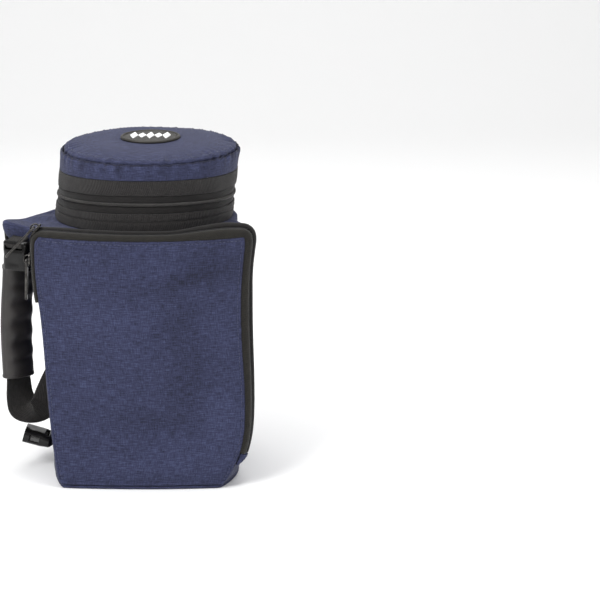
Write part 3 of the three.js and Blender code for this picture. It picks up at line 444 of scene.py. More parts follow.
def thread(name, colour):
    """Twisted sewing thread: a soft sheen and a slanting twist."""
    made, tree, shader = blank(name, roughness=0.6, specular=0.35, sheen=0.2)
    source = knot(tree, "TexCoord").outputs["Object"]
    twist = stretched(tree, source, (2600, 900, 900), (0, 0, 0))
    coloured(tree, shader, twist, [(0.35, lightened(colour, 0.55)), (0.62, colour)])
    embossed(tree, shader, twist, 0.5, 0.0001)
    return made


def inset_spot(z, side):
    """Share across the panel of the seam line inside one side edge."""
    return side * (1 - 2 * SEAM_INSET / (panel_side(z, 1) - panel_side(z, -1)))


thread_finish = thread("blue_thread", THREAD_COLOUR)
off_panel = (0.0, -1.0, 0.0)
seam_z = np.linspace(WALL_FOOT + SEAM_INSET, POCKET_TOP - SEAM_INSET, 160)
seam_across = np.linspace(inset_spot(seam_z[-1], -1), inset_spot(seam_z[-1], 1), 120)
for side, side_name in ((-1, "left"), (1, "right")):
    stitch_row("panel_stitches_" + side_name, panel_skin(inset_spot(seam_z, side), seam_z), off_panel)
stitch_row("panel_stitches_top", panel_skin(seam_across, np.full(120, seam_z[-1])), off_panel)

# Pocket zip. Two woven tapes folded into a ridge, with a nylon coil between them, run up the left edge, along
# the top and down the right edge. Tapes and coil are carried along the panel's own edge.
ZIP_LEFT_END = 150.0
ZIP_RIGHT_END = 29.0
ZIP_RISE = 6.1
ZIP_DEPTH = 12.2
GAP = 0.3
TAPE_THICK = 0.8
COIL_BACK = 0.54 * ZIP_DEPTH
COIL_RADIUS = 1.35
COIL_PITCH = 1.7
NYLON_RADIUS = 0.34
LIFT_PLACES = (0.00, 0.06, 0.11, 0.14, 0.25, 0.35, 0.42, 0.47, 0.52, 0.56, 0.61, 0.69, 0.79, 0.88, 1.00)
LIFTS = (0.45, 0.45, 0.50, 0.75, 0.85, 0.75, 0.85, 1.30, 1.50, 1.20, 1.05, 1.20, 1.15, 0.95, 0.85)
TAPE_THREAD_PITCH = 0.9
TAPE_DARK = (0.0050, 0.0043, 0.0034, 1)
TAPE = (0.0140, 0.0120, 0.0085, 1)
BACK_TAPE_DARK = (0.0040, 0.0035, 0.0035, 1)
BACK_TAPE = (0.0115, 0.0100, 0.0098, 1)
COIL_COLOUR = (0.007, 0.0065, 0.0065, 1)


def evened(line, count, softness):
    """The same line with evenly spaced points, each then averaged with its neighbours softness times."""
    reached = measured(line)
    places = np.linspace(0, reached[-1], count)
    even = np.stack([np.interp(places, reached, line[:, axis]) for axis in range(3)], axis=1)
    for _ in range(softness):
        even[1:-1] = (even[:-2] + 2 * even[1:-1] + even[2:]) / 4
    return even


def directions(line):
    """Unit vectors along a line."""
    forward = np.gradient(line, axis=0)
    return forward / np.linalg.norm(forward, axis=1, keepdims=True)


left_run = panel_point(-1, np.linspace(ZIP_LEFT_END, POCKET_TOP, 60))
top_run = panel_point(np.linspace(-1, 1, 120), POCKET_TOP)[1:-1]
right_run = panel_point(1, np.linspace(POCKET_TOP, ZIP_RIGHT_END, 120))
zip_line = evened(np.concatenate([left_run, top_run, right_run]), 460, 4)
zip_along = np.linspace(0, 1, len(zip_line))
zip_out = np.cross(directions(zip_line), (0, 1, 0))
zip_out /= np.linalg.norm(zip_out, axis=1, keepdims=True)
zip_lift = through(zip_along, LIFT_PLACES, LIFTS)


def beside_zip(out, back, spots=slice(None)):
    """Points beside the zip's line: out from the panel's edge, by the lift there, and back from its face."""
    out, back = np.atleast_1d(out), np.atleast_1d(back)
    reach = GAP + out[None, :] * zip_lift[spots, None]
    points = zip_line[spots, None, :] + zip_out[spots, None, :] * reach[..., None]
    points[..., 1] += back[None, :]
    return points


def rounded_run(corners, count):
    """A smooth run of (out, back) pairs through a few corners."""
    corners = np.array(corners, float)
    reached = measured(corners)
    places = np.linspace(0, reached[-1], count)
    return through(places, reached, corners[:, 0]), through(places, reached, corners[:, 1])


def tape_cloth(name, dark, light):
    """Woven tape: fine ribs along it, crossed by the weft, with a little dust in the hollows."""
    made, tree, shader = blank(name, roughness=0.8, specular=0.3, sheen=0.1)
    laid = knot(tree, "UVMap", uv_map="laid").outputs["UV"]
    weave = thread_checks(tree, laid, TAPE_THREAD_PITCH)
    streaks = stretched(tree, laid, (1600, 260, 1), (0, 0, 0))
    dust = stretched(tree, laid, (160, 160, 1), (4, 4, 0), 4.0)
    tone = total(tree, (weave, 0.12), (streaks, 0.5), (dust, 0.45))
    coloured(tree, shader, tone, [(0.34, dark), (0.62, light)])
    embossed(tree, shader, total(tree, (weave, 1.0), (streaks, 0.8)), 0.7, 0.00025)
    return made


def tube(name, line, normals, radii, sides=6, close=False):
    """Round or oval rod along a line: at each point a ring in the plane of its normal and its side direction.
    radii are the half sizes along those two directions, at each point or all along."""
    forward = directions(line)
    normals = normals - forward * np.sum(normals * forward, axis=1, keepdims=True)
    normals /= np.linalg.norm(normals, axis=1, keepdims=True)
    beside = np.cross(forward, normals)
    turn = np.linspace(0, 2 * np.pi, sides, endpoint=False)
    tall, wide = np.broadcast_arrays(*[np.atleast_1d(r) for r in radii])
    ring = (line[:, None] + normals[:, None] * (tall[:, None] * np.cos(turn))[..., None]
            + beside[:, None] * (wide[:, None] * np.sin(turn))[..., None])
    return surface(name, ring, wrap=True, close=close, caps=() if close else (0, -1))


def coil_line(line, out, back, half, pitch, phase, steps=10):
    """Helix about a line: one turn each pitch, half its given sizes out and back."""
    turns = int(measured(line)[-1] / pitch)
    share = np.linspace(0, 1, turns * steps + 1)
    reached = np.linspace(0, 1, len(line))
    carried = [np.stack([np.interp(share, reached, part[:, axis]) for axis in range(3)], axis=1)
               for part in (line, out, back)]
    angle = 2 * np.pi * turns * share + phase
    radial = carried[1] * np.cos(angle)[:, None] * half[0] + carried[2] * np.sin(angle)[:, None] * half[1]
    return carried[0] + radial, radial / np.linalg.norm(radial, axis=1, keepdims=True)


def plastic(name, colour, roughness, grain=900, depth=0.00003, specular=0.5):
    """Moulded or drawn plastic: even colour with slight wear, and a fine grain in the surface."""
    made, tree, shader = blank(name, roughness=roughness, specular=specular)
    source = knot(tree, "TexCoord").outputs["Object"]
    wear = stretched(tree, source, (70, 70, 70), (0, 0, 0), 4.0)
    fine = stretched(tree, source, (grain, grain, grain), (1, 2, 3), 3.0)
    coloured(tree, shader, wear, [(0.35, colour), (0.75, lightened(colour, 1.7, 0.004))])
    glossed(tree, shader, wear, roughness * 0.8, min(1, roughness * 1.3))
    embossed(tree, shader, fine, 0.5, depth)
    return made


zip_tape_finish = tape_cloth("zip_tape", TAPE_DARK, TAPE)
back_tape_finish = tape_cloth("zip_tape_black", BACK_TAPE_DARK, BACK_TAPE)
coil_finish = plastic("coil_nylon", COIL_COLOUR, 0.38)
out, back = rounded_run([(-0.6, 2.2), (0.0, 0.9), (0.34 * ZIP_RISE, 1.1), (0.56 * ZIP_RISE, 2.3),
                         (0.62 * ZIP_RISE, COIL_BACK - COIL_RADIUS - 0.5)], 14)
front_tape = piece(surface("pocket_zip_tape_front", beside_zip(out, back).transpose(1, 0, 2)[::-1]),
                   zip_tape_finish, ["pocket_zip_front_tape"])
thicken(front_tape, TAPE_THICK)
out, back = rounded_run([(0.74 * ZIP_RISE, COIL_BACK + COIL_RADIUS),
                         (0.94 * ZIP_RISE, COIL_BACK + COIL_RADIUS + 0.5),
                         (1.04 * ZIP_RISE, 0.82 * ZIP_DEPTH), (0.82 * ZIP_RISE, 0.97 * ZIP_DEPTH),
                         (0.40 * ZIP_RISE, ZIP_DEPTH + 0.4)], 16)
back_tape = piece(surface("pocket_zip_tape_back", beside_zip(out, back).transpose(1, 0, 2)[::-1]),
                  back_tape_finish, ["pocket_zip_back_tape"])
thicken(back_tape, TAPE_THICK)
coil_centre = beside_zip(0.66 * ZIP_RISE, COIL_BACK)[:, 0]
coil_back = np.broadcast_to((0.0, 1.0, 0.0), coil_centre.shape)
for half_name, phase, stands in (("front", 0.0, ["pocket_zip_coil"]), ("back", np.pi, [])):
    line, radial = coil_line(coil_centre, zip_out, coil_back, (0.85, 1.3), COIL_PITCH, phase)
    nylon = tube("pocket_zip_coil_" + half_name, line, radial, (NYLON_RADIUS, NYLON_RADIUS), 5)
    piece(nylon, coil_finish, stands)

# Zip end. A scrap of the body cloth, folded over the ends of both tapes low on the right and sewn into the
# seam below them. It narrows as it goes down.
END_LENGTH = 9.0
END_START = ZIP_RIGHT_END - 0.6
end_rows = panel_point(1, np.linspace(END_START, END_START - END_LENGTH, 16))
end_tuck = 1 - 0.5 * np.linspace(0, 1, 16) ** 2
turn = np.linspace(0, 2 * np.pi, 28, endpoint=False)
end_out = (0.42 - 0.60 * np.cos(turn)) * ZIP_RISE
end_back = (0.52 - 0.46 * np.sin(turn)) * ZIP_DEPTH
end_reach = GAP + np.maximum(end_out, 0.15) * end_tuck[:, None]
end_points = end_rows[:, None] + zip_out[-1] * end_reach[..., None]
end_points[..., 1] += end_back
end_cap = end_points.mean(axis=1, keepdims=True)
ends = [end_cap[:1] + (end_points[:1] - end_cap[:1]) * share for share in (0.001, 0.85)]
tips = [end_cap[-1:] + (end_points[-1:] - end_cap[-1:]) * share for share in (0.85, 0.001)]
piece(surface("pocket_zip_end", np.concatenate([*ends, end_points, *tips])[:, ::-1], wrap=True, caps=(0, -1)),
      cloth_finish, ["pocket_zip_end_tab"])

# Pocket sides. Gussets of the body cloth join the zip, or the panel below its ends, to the cylinder on both
# sides, sewn in along both edges. They swell a little and crease where the pocket stands empty.
TAB_FOOT = 19.0
CORNER_START = 0.95
LEFT_SEAM = 197.0
RIGHT_SEAM = 346.0
GUSSET_CLOTH = 1.6
FOLD_DROP = 3.2
FOLD_REST = 0.2


def side_front_edge(z, side):
    """Front edge of a gusset: behind the zip where there is one, and behind the panel past the zip's end."""
    end = ZIP_LEFT_END if side < 0 else TAB_FOOT
    behind = ease(end - FOLD_DROP, end - FOLD_REST, z)
    along = 0.05 if side < 0 else 0.62 + 0.38 * (1 - ease(ZIP_RIGHT_END, POCKET_TOP, z))
    lift = through(along, LIFT_PLACES, LIFTS)
    x = panel_side(np.minimum(z, CORNER_START * POCKET_TOP), side) + side * behind * 0.44 * ZIP_RISE * lift
    return stacked(x, panel_depth(side, z) + 1.2 + behind * (ZIP_DEPTH - 1.2), z)


def side_rear_edge(z, side):
    """Rear edge of a gusset, on the cylinder: it gives way to the ear high on the left."""
    ear = through(z / BODY_HEIGHT, EAR_HEIGHTS, EAR_SHARES)
    angle = LEFT_SEAM + 19 * ear if side < 0 else np.full_like(z, RIGHT_SEAM)
    return on_plan(angle, body_reach(angle, z) + 0.9 + 1.4 * np.sin(np.pi * ear), z)


def side_skin(z, share, side):
    """Gusset between its two edges, swollen in the middle, with slanting creases and turned-in edges."""
    front_edge, rear_edge = side_front_edge(z, side), side_rear_edge(z, side)
    points = front_edge + (rear_edge - front_edge) * share[..., None]
    swell = (1.5 if side < 0 else 3.5) + 3 * (1 - ease(0, ZIP_RIGHT_END, z)) * (1 if side > 0 else 0.4)
    swell = swell * np.sin(np.pi * share)
    crease = 0.8 * np.sin(np.pi * share) * waves(z / WAVE_SPAN + share * 0.11, 2, 8, 31 if side < 0 else 32)
    edge = -1.0 * hump(share, 0.03) - 1.2 * hump(share - 1, 0.04)
    points[..., 0] += side * (swell + crease * 0.7 + edge)
    return points


for side, side_name in ((-1, "left"), (1, "right")):
    fold = (ZIP_LEFT_END if side < 0 else TAB_FOOT) + np.linspace(-FOLD_DROP - FOLD_REST, 0, 12)
    levels = np.concatenate([np.linspace(WALL_FOOT, fold[0], 16 if side > 0 else 90)[:-1], fold,
                             np.linspace(fold[-1], WALL_TOP, 120 if side > 0 else 40)[1:]])
    z_grid, share_grid = np.meshgrid(levels, np.linspace(0, 1, 44), indexing="ij")
    points = side_skin(z_grid, share_grid, side)
    if side < 0:
        points = points[:, ::-1]
    gusset = piece(surface("pocket_side_cloth_" + side_name, points), cloth_finish,
                   ["pocket_side_" + side_name])
    thicken(gusset, GUSSET_CLOTH)

# Bottom. A flat oval of the same cloth closes the cylinder and the pocket. Its edge turns up a little and is
# sewn in all round.
BOTTOM_CLOTH = 0.9
right_edge = side_skin(np.full(12, WALL_FOOT), np.linspace(0, 1, 12), 1)
left_edge = side_skin(np.full(12, WALL_FOOT), np.linspace(1, 0, 12), -1)
arc = on_plan(np.linspace(352, 556, 90), BODY_RADIUS, WALL_FOOT)
front_edge = panel_point(np.linspace(-1, 1, 50), WALL_FOOT)
foot_loop = np.concatenate([right_edge, arc[3:-3], left_edge, front_edge, right_edge[:1]])
foot_outline = evened(foot_loop, 261, 3)[:-1]
foot_shares = np.array([1.0, 1.004, 1.006, 1.0, 0.985, 0.9, 0.6, 0.3, 0.001])[::-1, None, None]
foot_rises = np.array([2.4, 1.8, 1.0, 0.35, 0.02, 0.0, 0.0, 0.0, 0.0])[::-1, None]
foot_points = foot_outline[None] * foot_shares
foot_points[..., 2] = foot_rises
bottom = surface("base_cloth", foot_points, wrap=True, caps=(0,))
thicken(piece(bottom, cloth_finish, ["base_panel"]), BOTTOM_CLOTH)

# Shoulder. A cloth ring between the top of the walls and the round mouth, widest over the pocket's corners
# and out to the ear. Its outer edge turns down into the seam.
MOUTH_RADIUS = 69.8
SHOULDER_CLOTH = 1.2


def shoulder_outline(count):
    """Outline of the case at its top: right gusset, the cylinder's back, the ear, and behind the zip."""
    right_side = side_skin(np.full(16, WALL_TOP), np.linspace(0, 1, 16), 1)
    around = np.linspace(352, 360 + EAR_ANGLE + 12, 150)
    back_arc = on_plan(around, body_reach(around % 360, np.full(150, WALL_TOP)), WALL_TOP)
    left_side = side_skin(np.full(6, WALL_TOP), np.linspace(0.28, 0, 6), -1)
    top_spots = (zip_along > 0.155) & (zip_along < 0.535)
    behind_zip = beside_zip(0.36 * ZIP_RISE, ZIP_DEPTH + GAP, top_spots)[:, 0]
    line = np.concatenate([right_side, back_arc, left_side, behind_zip, right_side[:1]])
    return evened(line, count + 1, 4)[:-1]


shoulder_outer = shoulder_outline(360)
shoulder_outer[:, 2] = np.maximum(shoulder_outer[:, 2], BODY_HEIGHT)
plan_angle = np.arctan2(shoulder_outer[:, 1], shoulder_outer[:, 0])
shoulder_inner = stacked(MOUTH_RADIUS * np.cos(plan_angle), MOUTH_RADIUS * np.sin(plan_angle), BODY_HEIGHT)
shares = np.array([0.0, 0.01, 0.03, 0.06, 0.1, *np.linspace(0.16, 1, 20)])[:, None]
shoulder = shoulder_outer[None] + (shoulder_inner - shoulder_outer)[None] * shares[..., None]
width = np.linalg.norm(shoulder_outer - shoulder_inner, axis=1)[None, :]
ripples = waves(plan_angle / (2 * np.pi), 9, 22, 41)[None]
fold = 0.5 * np.sin(np.pi * shares) * ripples * np.minimum(1, width / 12)
shoulder[..., 2] += fold - 1.5 * hump(shares * width, 1.0) + 0.25 * hump(shares * width - 3.2, 2.0)
ring = surface("shoulder_cloth", curled(shoulder), wrap=True)
thicken(piece(ring, cloth_finish, ["shoulder_panel"]), SHOULDER_CLOTH)

# Collar. Two wide ribbed bands of black webbing stand round the mouth, with the lid's zip sewn between them.
# All rings lean a little to the right, tilt a little forward and wave, as the stuffed case does.
COLLAR_FOOT = 205.8
COLLAR_RADIUS = 72.2
LOWER_BAND = 14.0
LID_TAPE = 5.0
LID_COIL = 2.8
UPPER_BAND = 12.6
LID_BAND = 15.0
LID_LEAN = 0.11
LID_TILT = 0.025
BAND_WAVE = 1.8
BAND_CREASE = 0.7
TAPE_LAP = 0.2
SPLIT_PITCH = 0.7
BAND_CLOTH = 1.8
TAPE_CLOTH = 1.1
TAPE_SINK = 1.0
AROUND = 300
BLACK_DARK = (0.0065, 0.0056, 0.0055, 1)
BLACK_WEAVE = (0.027, 0.0235, 0.0235, 1)
lower_tape_foot = COLLAR_FOOT + LOWER_BAND + GAP
coil_foot = lower_tape_foot + LID_TAPE + GAP
upper_tape_foot = coil_foot + LID_COIL + GAP
upper_band_foot = upper_tape_foot + LID_TAPE + GAP
lid_foot = upper_band_foot + UPPER_BAND + GAP
lid_seam = lid_foot + LID_BAND
collar_height = lid_seam - COLLAR_FOOT


def settle(points):
    """Leans and tilts what stands on the collar, the more the higher it is, and bends its rings into a saddle
    that is deepest halfway up."""
    x, y, z = points[..., 0], points[..., 1], points[..., 2]
    rise = z - COLLAR_FOOT
    share = np.minimum(1, rise / collar_height)
    reach = np.maximum(1, np.hypot(x, y))
    wave = BAND_WAVE * np.sin(np.pi * share) * (y * y - x * x) / reach**2 * (reach > 0.5 * COLLAR_RADIUS)
    tilt = LID_TILT * share**2 * (y + 0.25 * COLLAR_RADIUS)
    return stacked(x + LID_LEAN * rise, y, z + wave + tilt)


def turned(profile, count=AROUND, uneven=0.0, seed=0):
    """Ring from a profile of (radius, height) rows, with a little unevenness round it."""
    profile = np.array(profile, float)
    angle = np.linspace(0, 2 * np.pi, count, endpoint=False)[None, :]
    radius = profile[:, 0][:, None] + uneven * waves(angle / (2 * np.pi), 5, 24, seed)
    return stacked(radius * np.cos(angle), radius * np.sin(angle), profile[:, 1][:, None])


def band_profile(foot, height, radius, wall, soft=0.5, crease=0.0):
    """Rows of an upright band with rounded edges: up its outside, swollen by half a sine wave with a crease
    pressed in halfway up, and down its inside."""
    head, inside = foot + height, radius - wall
    rises = np.linspace(0.05, 0.95, 25)
    swell = radius + 0.25 * np.sin(np.pi * rises) - crease * hump(rises - 0.56, 0.06)
    return [(radius - soft, foot), (radius, foot + soft),
            *zip(swell, foot + soft + (height - 2 * soft) * rises),
            (radius, head - soft), (radius - soft, head), (inside + soft, head), (inside, head - soft),
            (inside, foot + soft), (inside + soft, foot)]


def rows_of_thread(tree, distance, pitch):
    """Sine wave along a distance in metres, one turn each pitch."""
    turns = knot(tree, "Math", {0: distance, 1: 2 * np.pi / (pitch * MM)}, operation="MULTIPLY").outputs[0]
    return knot(tree, "Math", {0: turns}, operation="SINE").outputs[0]


def ribbed(name, dark, light, rib, cross, strength):
    """Grosgrain: ribs that stand across the band, split by fine threads along it, with lint and wear."""
    made, tree, shader = blank(name, roughness=0.75, specular=0.35, sheen=0.08)
    laid = knot(tree, "UVMap", uv_map="laid").outputs["UV"]
    parted = knot(tree, "SeparateXYZ", {"Vector": laid})
    slant = total(tree, (parted.outputs["X"], 1.0), (parted.outputs["Y"], cross))
    ribs, fine = rows_of_thread(tree, slant, rib), rows_of_thread(tree, parted.outputs["Y"], SPLIT_PITCH)
    streaks = stretched(tree, laid, (1100, 130, 1), (0, 3, 0), 3.0)
    lint = stretched(tree, laid, (300, 300, 1), (8, 2, 0), 5.0)
    tone = total(tree, (ribs, 0.08), (streaks, 0.55), (lint, 0.42))
    coloured(tree, shader, tone, [(0.33, dark), (0.66, light)])
    embossed(tree, shader, total(tree, (ribs, 1.0), (fine, 0.5), (streaks, 0.6)), strength, 0.0003)
    return made


band_finish = ribbed("collar_grosgrain", BLACK_DARK, BLACK_WEAVE, 1.5, 0.35, 0.9)
for level, foot, height, crease, seed in (("lower", COLLAR_FOOT, LOWER_BAND, BAND_CREASE, 51),
                                          ("upper", upper_band_foot, UPPER_BAND, 0.0, 52)):
    profile = band_profile(foot, height, COLLAR_RADIUS, BAND_CLOTH, crease=crease)
    rings = settle(turned(profile, uneven=0.22, seed=seed))
    piece(surface("collar_band_" + level, rings, wrap=True, close=True), band_finish,
          ["collar_" + level + "_band"])
tape_radius = COLLAR_RADIUS - TAPE_SINK
for level, foot in (("lower", lower_tape_foot), ("upper", upper_tape_foot)):
    profile = band_profile(foot - TAPE_LAP, LID_TAPE + 2 * TAPE_LAP, tape_radius, TAPE_CLOTH, 0.3)
    rings = settle(turned(profile, uneven=0.12, seed=53))
    piece(surface("lid_zip_tape_" + level, rings, wrap=True, close=True), back_tape_finish,
          ["lid_zip_" + level + "_tape"])

# Lid zip coil. Two spirals of black nylon mesh in a ring between the tapes, sewn to their edges and a little
# proud of them.
COIL_SINK = 0.9
LID_NYLON_RADIUS = 0.36
# The lid's coil is drawn a lighter black than the pocket's coil, as painted light for the highlights along
# it.
LID_COIL_COLOUR = (0.026, 0.0245, 0.0235, 1)
angle = np.linspace(0, 2 * np.pi, 721)
coil_radius = COLLAR_RADIUS - COIL_SINK
lid_coil_finish = plastic("lid_coil_nylon", LID_COIL_COLOUR, 0.3)
coil_height = coil_foot + LID_COIL / 2
ring_line = settle(stacked(coil_radius * np.cos(angle), coil_radius * np.sin(angle), coil_height))
ring_out = stacked(np.cos(angle), np.sin(angle), 0 * angle)
ring_up = np.broadcast_to((0.0, 0.0, 1.0), ring_out.shape)
for half_name, phase, stands in (("lower", 0.0, ["lid_zip_coil"]), ("upper", np.pi, [])):
    line, radial = coil_line(ring_line, ring_out, ring_up, (0.85, 1.35), COIL_PITCH, phase)
    nylon = tube("lid_zip_coil_" + half_name, line, radial, (LID_NYLON_RADIUS, LID_NYLON_RADIUS), 5)
    piece(nylon, lid_coil_finish, stands)

# Lid. A narrow band of the body cloth, sewn to the collar, and a padded round top of the same cloth meet in a
# gathered seam: the cloth puckers all round it.
LID_CLOTH = 1.4
LID_RISE = 5.5
AROUND_LID = 480
LID_EDGE = COLLAR_RADIUS - 2.6
LID_SEAM_ROW = 20
# Strengths of the painted shade in the crease under the lid's seam, and of the painted shade and light in
# streaks on the band's folds.
CREASE_SHADE = -2.2
FOLD_SHADE = 0.8
RIM_ROLL = 3.4


def gathers(angle, seed):
    """Puckers round the lid's seam: a quick uneven ripple times a slow one, so that it comes and goes."""
    part = angle / (2 * np.pi)
    return waves(part, 22, 66, seed, 16) * (0.75 + 0.35 * waves(part, 2, 9, seed + 1))


def lid_top_height(reach):
    """Height of the dome at a distance from the axis: nearly flat, falling by the sixth power to its rim."""
    share = np.minimum(1, reach / LID_EDGE)
    return lid_seam + 0.5 + LID_RISE * (1 - share**6) * (0.86 + 0.14 * (1 - share * share))


def gathered(profile, seed, depth_of):
    """Ring from a profile whose rows pucker by the depth that depth_of gives for each row, from 0 to 1."""
    profile = np.array(profile, float)
    angle = np.linspace(0, 2 * np.pi, AROUND_LID, endpoint=False)[None, :]
    depth = depth_of(profile)[:, None]
    ripple = gathers(angle, seed)
    radius = profile[:, 0][:, None] + 0.5 * depth * ripple
    height = profile[:, 1][:, None] + 0.45 * depth * gathers(angle, seed + 7)
    return settle(stacked(radius * np.cos(angle), radius * np.sin(angle), height))


radius = COLLAR_RADIUS - 0.3
side_shares = np.linspace(0, 1, 14)
roll = np.linspace(0.1, 1.55, 12)
lid_rows = np.array([*zip(radius + 0.4 * side_shares, lid_foot + (LID_BAND - 5) * side_shares),
                     *zip(radius + 0.4 - 1.2 * (1 - np.cos(roll)), lid_seam - 5 + 4.2 * np.sin(roll)),
                     (radius - 1.3, lid_seam - 1.5), (radius - 1.5, lid_seam - 3),
                     (radius - 1.6, lid_seam - 7), (radius - 1.6, lid_foot + 0.5)])
rings = gathered(lid_rows, 61, lambda rows: ease(lid_seam - 11, lid_seam - 1, rows[:, 1]))
lid_side = piece(surface("lid_band_cloth", rings, wrap=True, close=True), cloth_finish, ["lid_band"])
# Painted shade in the crease where the band rolls in under the seam, and painted shade and light in upright
# streaks round the band for its folds.
in_crease = (lid_rows[:, 0] < radius) & (lid_rows[:, 1] > lid_seam - 6)
lid_part = np.linspace(0, 1, AROUND_LID, endpoint=False)
painted_fold_shading = ease(lid_foot, lid_seam - 3, lid_rows[:, 1:]) * waves(lid_part, 10, 44, 66)[None, :]
shaded(lid_side, CREASE_SHADE * in_crease[:, None] + FOLD_SHADE * painted_fold_shading)
turn = np.linspace(np.pi / 2, -0.25, 22)
rim_reach = LID_EDGE - RIM_ROLL + RIM_ROLL * np.cos(turn)
rim_height = lid_seam + 0.6 - 0.5 * RIM_ROLL + RIM_ROLL * np.sin(turn) - 3.2 * ease(0.2, -0.25, turn)
reach = np.linspace(0.05, LID_EDGE - RIM_ROLL, 46)
rise_to_rim = lid_top_height(reach) - lid_top_height(reach[-1]) + rim_height[0]
rim_rows = np.stack([rim_reach, rim_height], 1)[1:]
dome_rows = np.concatenate([np.stack([reach, rise_to_rim], 1), rim_rows])[::-1]
rings = gathered(dome_rows, 71, lambda rows: ease(52, 67, rows[:, 0]) * 0.9)
rings[..., 2] += 0.35 * np.sin(rings[..., 0] / 13) * np.sin(rings[..., 1] / 17 + 1)
lid_roof = piece(surface("lid_top_cloth", rings, wrap=True, caps=(-1,)), cloth_finish, ["lid_top"])
# Painted shade on the top's rim where it tucks down under the seam.
under_rim = 1 - ease(lid_seam - 1.6, lid_seam + 0.4, dome_rows[:, 1])
painted_rim_shade = CREASE_SHADE * under_rim * (dome_rows[:, 0] > LID_EDGE - 2)
thicken(shaded(lid_roof, np.repeat(painted_rim_shade, AROUND_LID)), LID_CLOTH)
stitch_spots = np.append(np.arange(rings.shape[1]), 0)
stitch_row("lid_stitches", rings[LID_SEAM_ROW][stitch_spots], (0.0, 0.0, 1.0))

# Badge. A soft moulded rubber disc with a rolled rim is sewn to the lid. A plain row of raised white lozenges
# is moulded on it.
BADGE_RADIUS = 24.2
BADGE_THICK = 2.4
BADGE_RIM = 1.3
BADGE_SINK = 0.6
BADGE_RISE = 0.4
BADGE_BACK = 1.0
BADGE_COLOUR = (0.014, 0.012, 0.009, 1)
MOTIF_COLOUR = (0.80, 0.80, 0.79, 1)
lid_centre = LID_LEAN * collar_height


def drape(points, rise):
    """Lays what is drawn flat about the origin on the lid's dome, at the badge's place, a rise above it."""
    x, y = points[..., 0], points[..., 1] + BADGE_BACK
    floor = lid_top_height(np.hypot(x, y)) + LID_TILT * (y + 0.25 * COLLAR_RADIUS) + rise
    return stacked(x + lid_centre, y, points[..., 2] + floor)


turn = np.linspace(-1.2, 3.0, 20)
badge_face = BADGE_THICK - BADGE_SINK
rim_reach = BADGE_RADIUS - BADGE_RIM + BADGE_RIM * np.cos(turn)
rim_height = BADGE_THICK - BADGE_RIM + BADGE_RIM * np.sin(turn)
disc_rows = [(0.02, 0), (BADGE_RADIUS * 0.5, 0), (BADGE_RADIUS - 1.2, 0), *zip(rim_reach, rim_height),
             (BADGE_RADIUS - 3.0, badge_face - 0.1), (BADGE_RADIUS - 3.6, badge_face - 0.02),
             (BADGE_RADIUS * 0.6, badge_face), (BADGE_RADIUS * 0.3, badge_face), (0.02, badge_face)]
badge_finish = plastic("badge_rubber", BADGE_COLOUR, 0.5, 700, 0.00006)
badge = drape(turned(disc_rows, 120), BADGE_RISE)
piece(surface("badge_disc", badge, wrap=True, caps=(0, -1)), badge_finish, ["lid_badge"])
motif_finish = plastic("motif_white", MOTIF_COLOUR, 0.55, 700, 0.00004)


def corner_places(mesh):
    """Places of a mesh's vertices, in millimetres."""
    corners = np.empty(len(mesh.vertices) * 3)
    mesh.vertices.foreach_get("co", corners)
    return corners.reshape(-1, 3) / MM


def moved(mesh, place):
    """The mesh with its vertices taken, in millimetres, to where place puts them."""
    mesh.vertices.foreach_set("co", (place(corner_places(mesh)) * MM).ravel())
    mesh.update()
    return mesh


def plate(name, outlines, thickness, bevel, place):
    """Flat plate from closed outlines in millimetres, holes among them, with rounded edges. place is a
    function that takes its points, drawn about the origin, to where the plate goes."""
    flat = bpy.data.curves.new(name + "_outline", "CURVE")
    flat.dimensions = "2D"
    flat.fill_mode = "BOTH"
    flat.extrude = (thickness / 2 - bevel) * MM
    flat.bevel_depth = bevel * MM
    flat.bevel_resolution = 3
    flat.offset = -bevel * MM
    for outline in outlines:
        spline = flat.splines.new("POLY")
        spline.points.add(len(outline) - 1)
        drawn = np.c_[np.array(outline) * MM, np.zeros(len(outline)), np.ones(len(outline))]
        spline.points.foreach_set("co", drawn.ravel())
        spline.use_cyclic_u = True
    holder = bpy.data.objects.new(name + "_outline", flat)
    mesh = bpy.data.meshes.new_from_object(holder)
    bpy.data.objects.remove(holder)
    mesh.name = name
    return moved(mesh, place)


def rounded_outline(width, height, radius, centre, steps=8):
    """Rectangle with round corners: a quarter circle at each, turned for its corner."""
    turn = np.linspace(0, np.pi / 2, steps)
    quarter = np.stack([np.cos(turn), np.sin(turn)], -1) * radius
    corners = []
    for sx, sy, flip in ((1, 1, False), (-1, 1, True), (-1, -1, False), (1, -1, True)):
        arc_points = quarter * (sx, sy) + (sx * (width / 2 - radius), sy * (height / 2 - radius))
        corners.append(arc_points[::-1] if flip else arc_points)
    return np.concatenate(corners) + centre


MOTIF_SPAN = 1.36 * BADGE_RADIUS
MOTIF_THICK = 1.1
MOTIF_BEVEL = 0.2
MOTIF_RISE = 0.35
LOZENGE_HEIGHTS = (24.0, 17.0, 24.0, 17.0, 24.0)
LOZENGE_SHARE = 0.97
pitch = MOTIF_SPAN / len(LOZENGE_HEIGHTS)
lozenges = []
for step, tall in enumerate(LOZENGE_HEIGHTS):
    half = LOZENGE_SHARE * pitch / 2
    lozenge = np.array([(half, 0), (0, tall / 2), (-half, 0), (0, -tall / 2)])
    lozenges.append(lozenge + ((step - len(LOZENGE_HEIGHTS) // 2) * pitch, 0))
motif = plate("badge_lozenges", lozenges, MOTIF_THICK, MOTIF_BEVEL,
              lambda points: drape(points + (0, 0, MOTIF_RISE), BADGE_RISE + badge_face))
piece(motif, motif_finish, ["badge_motif"])

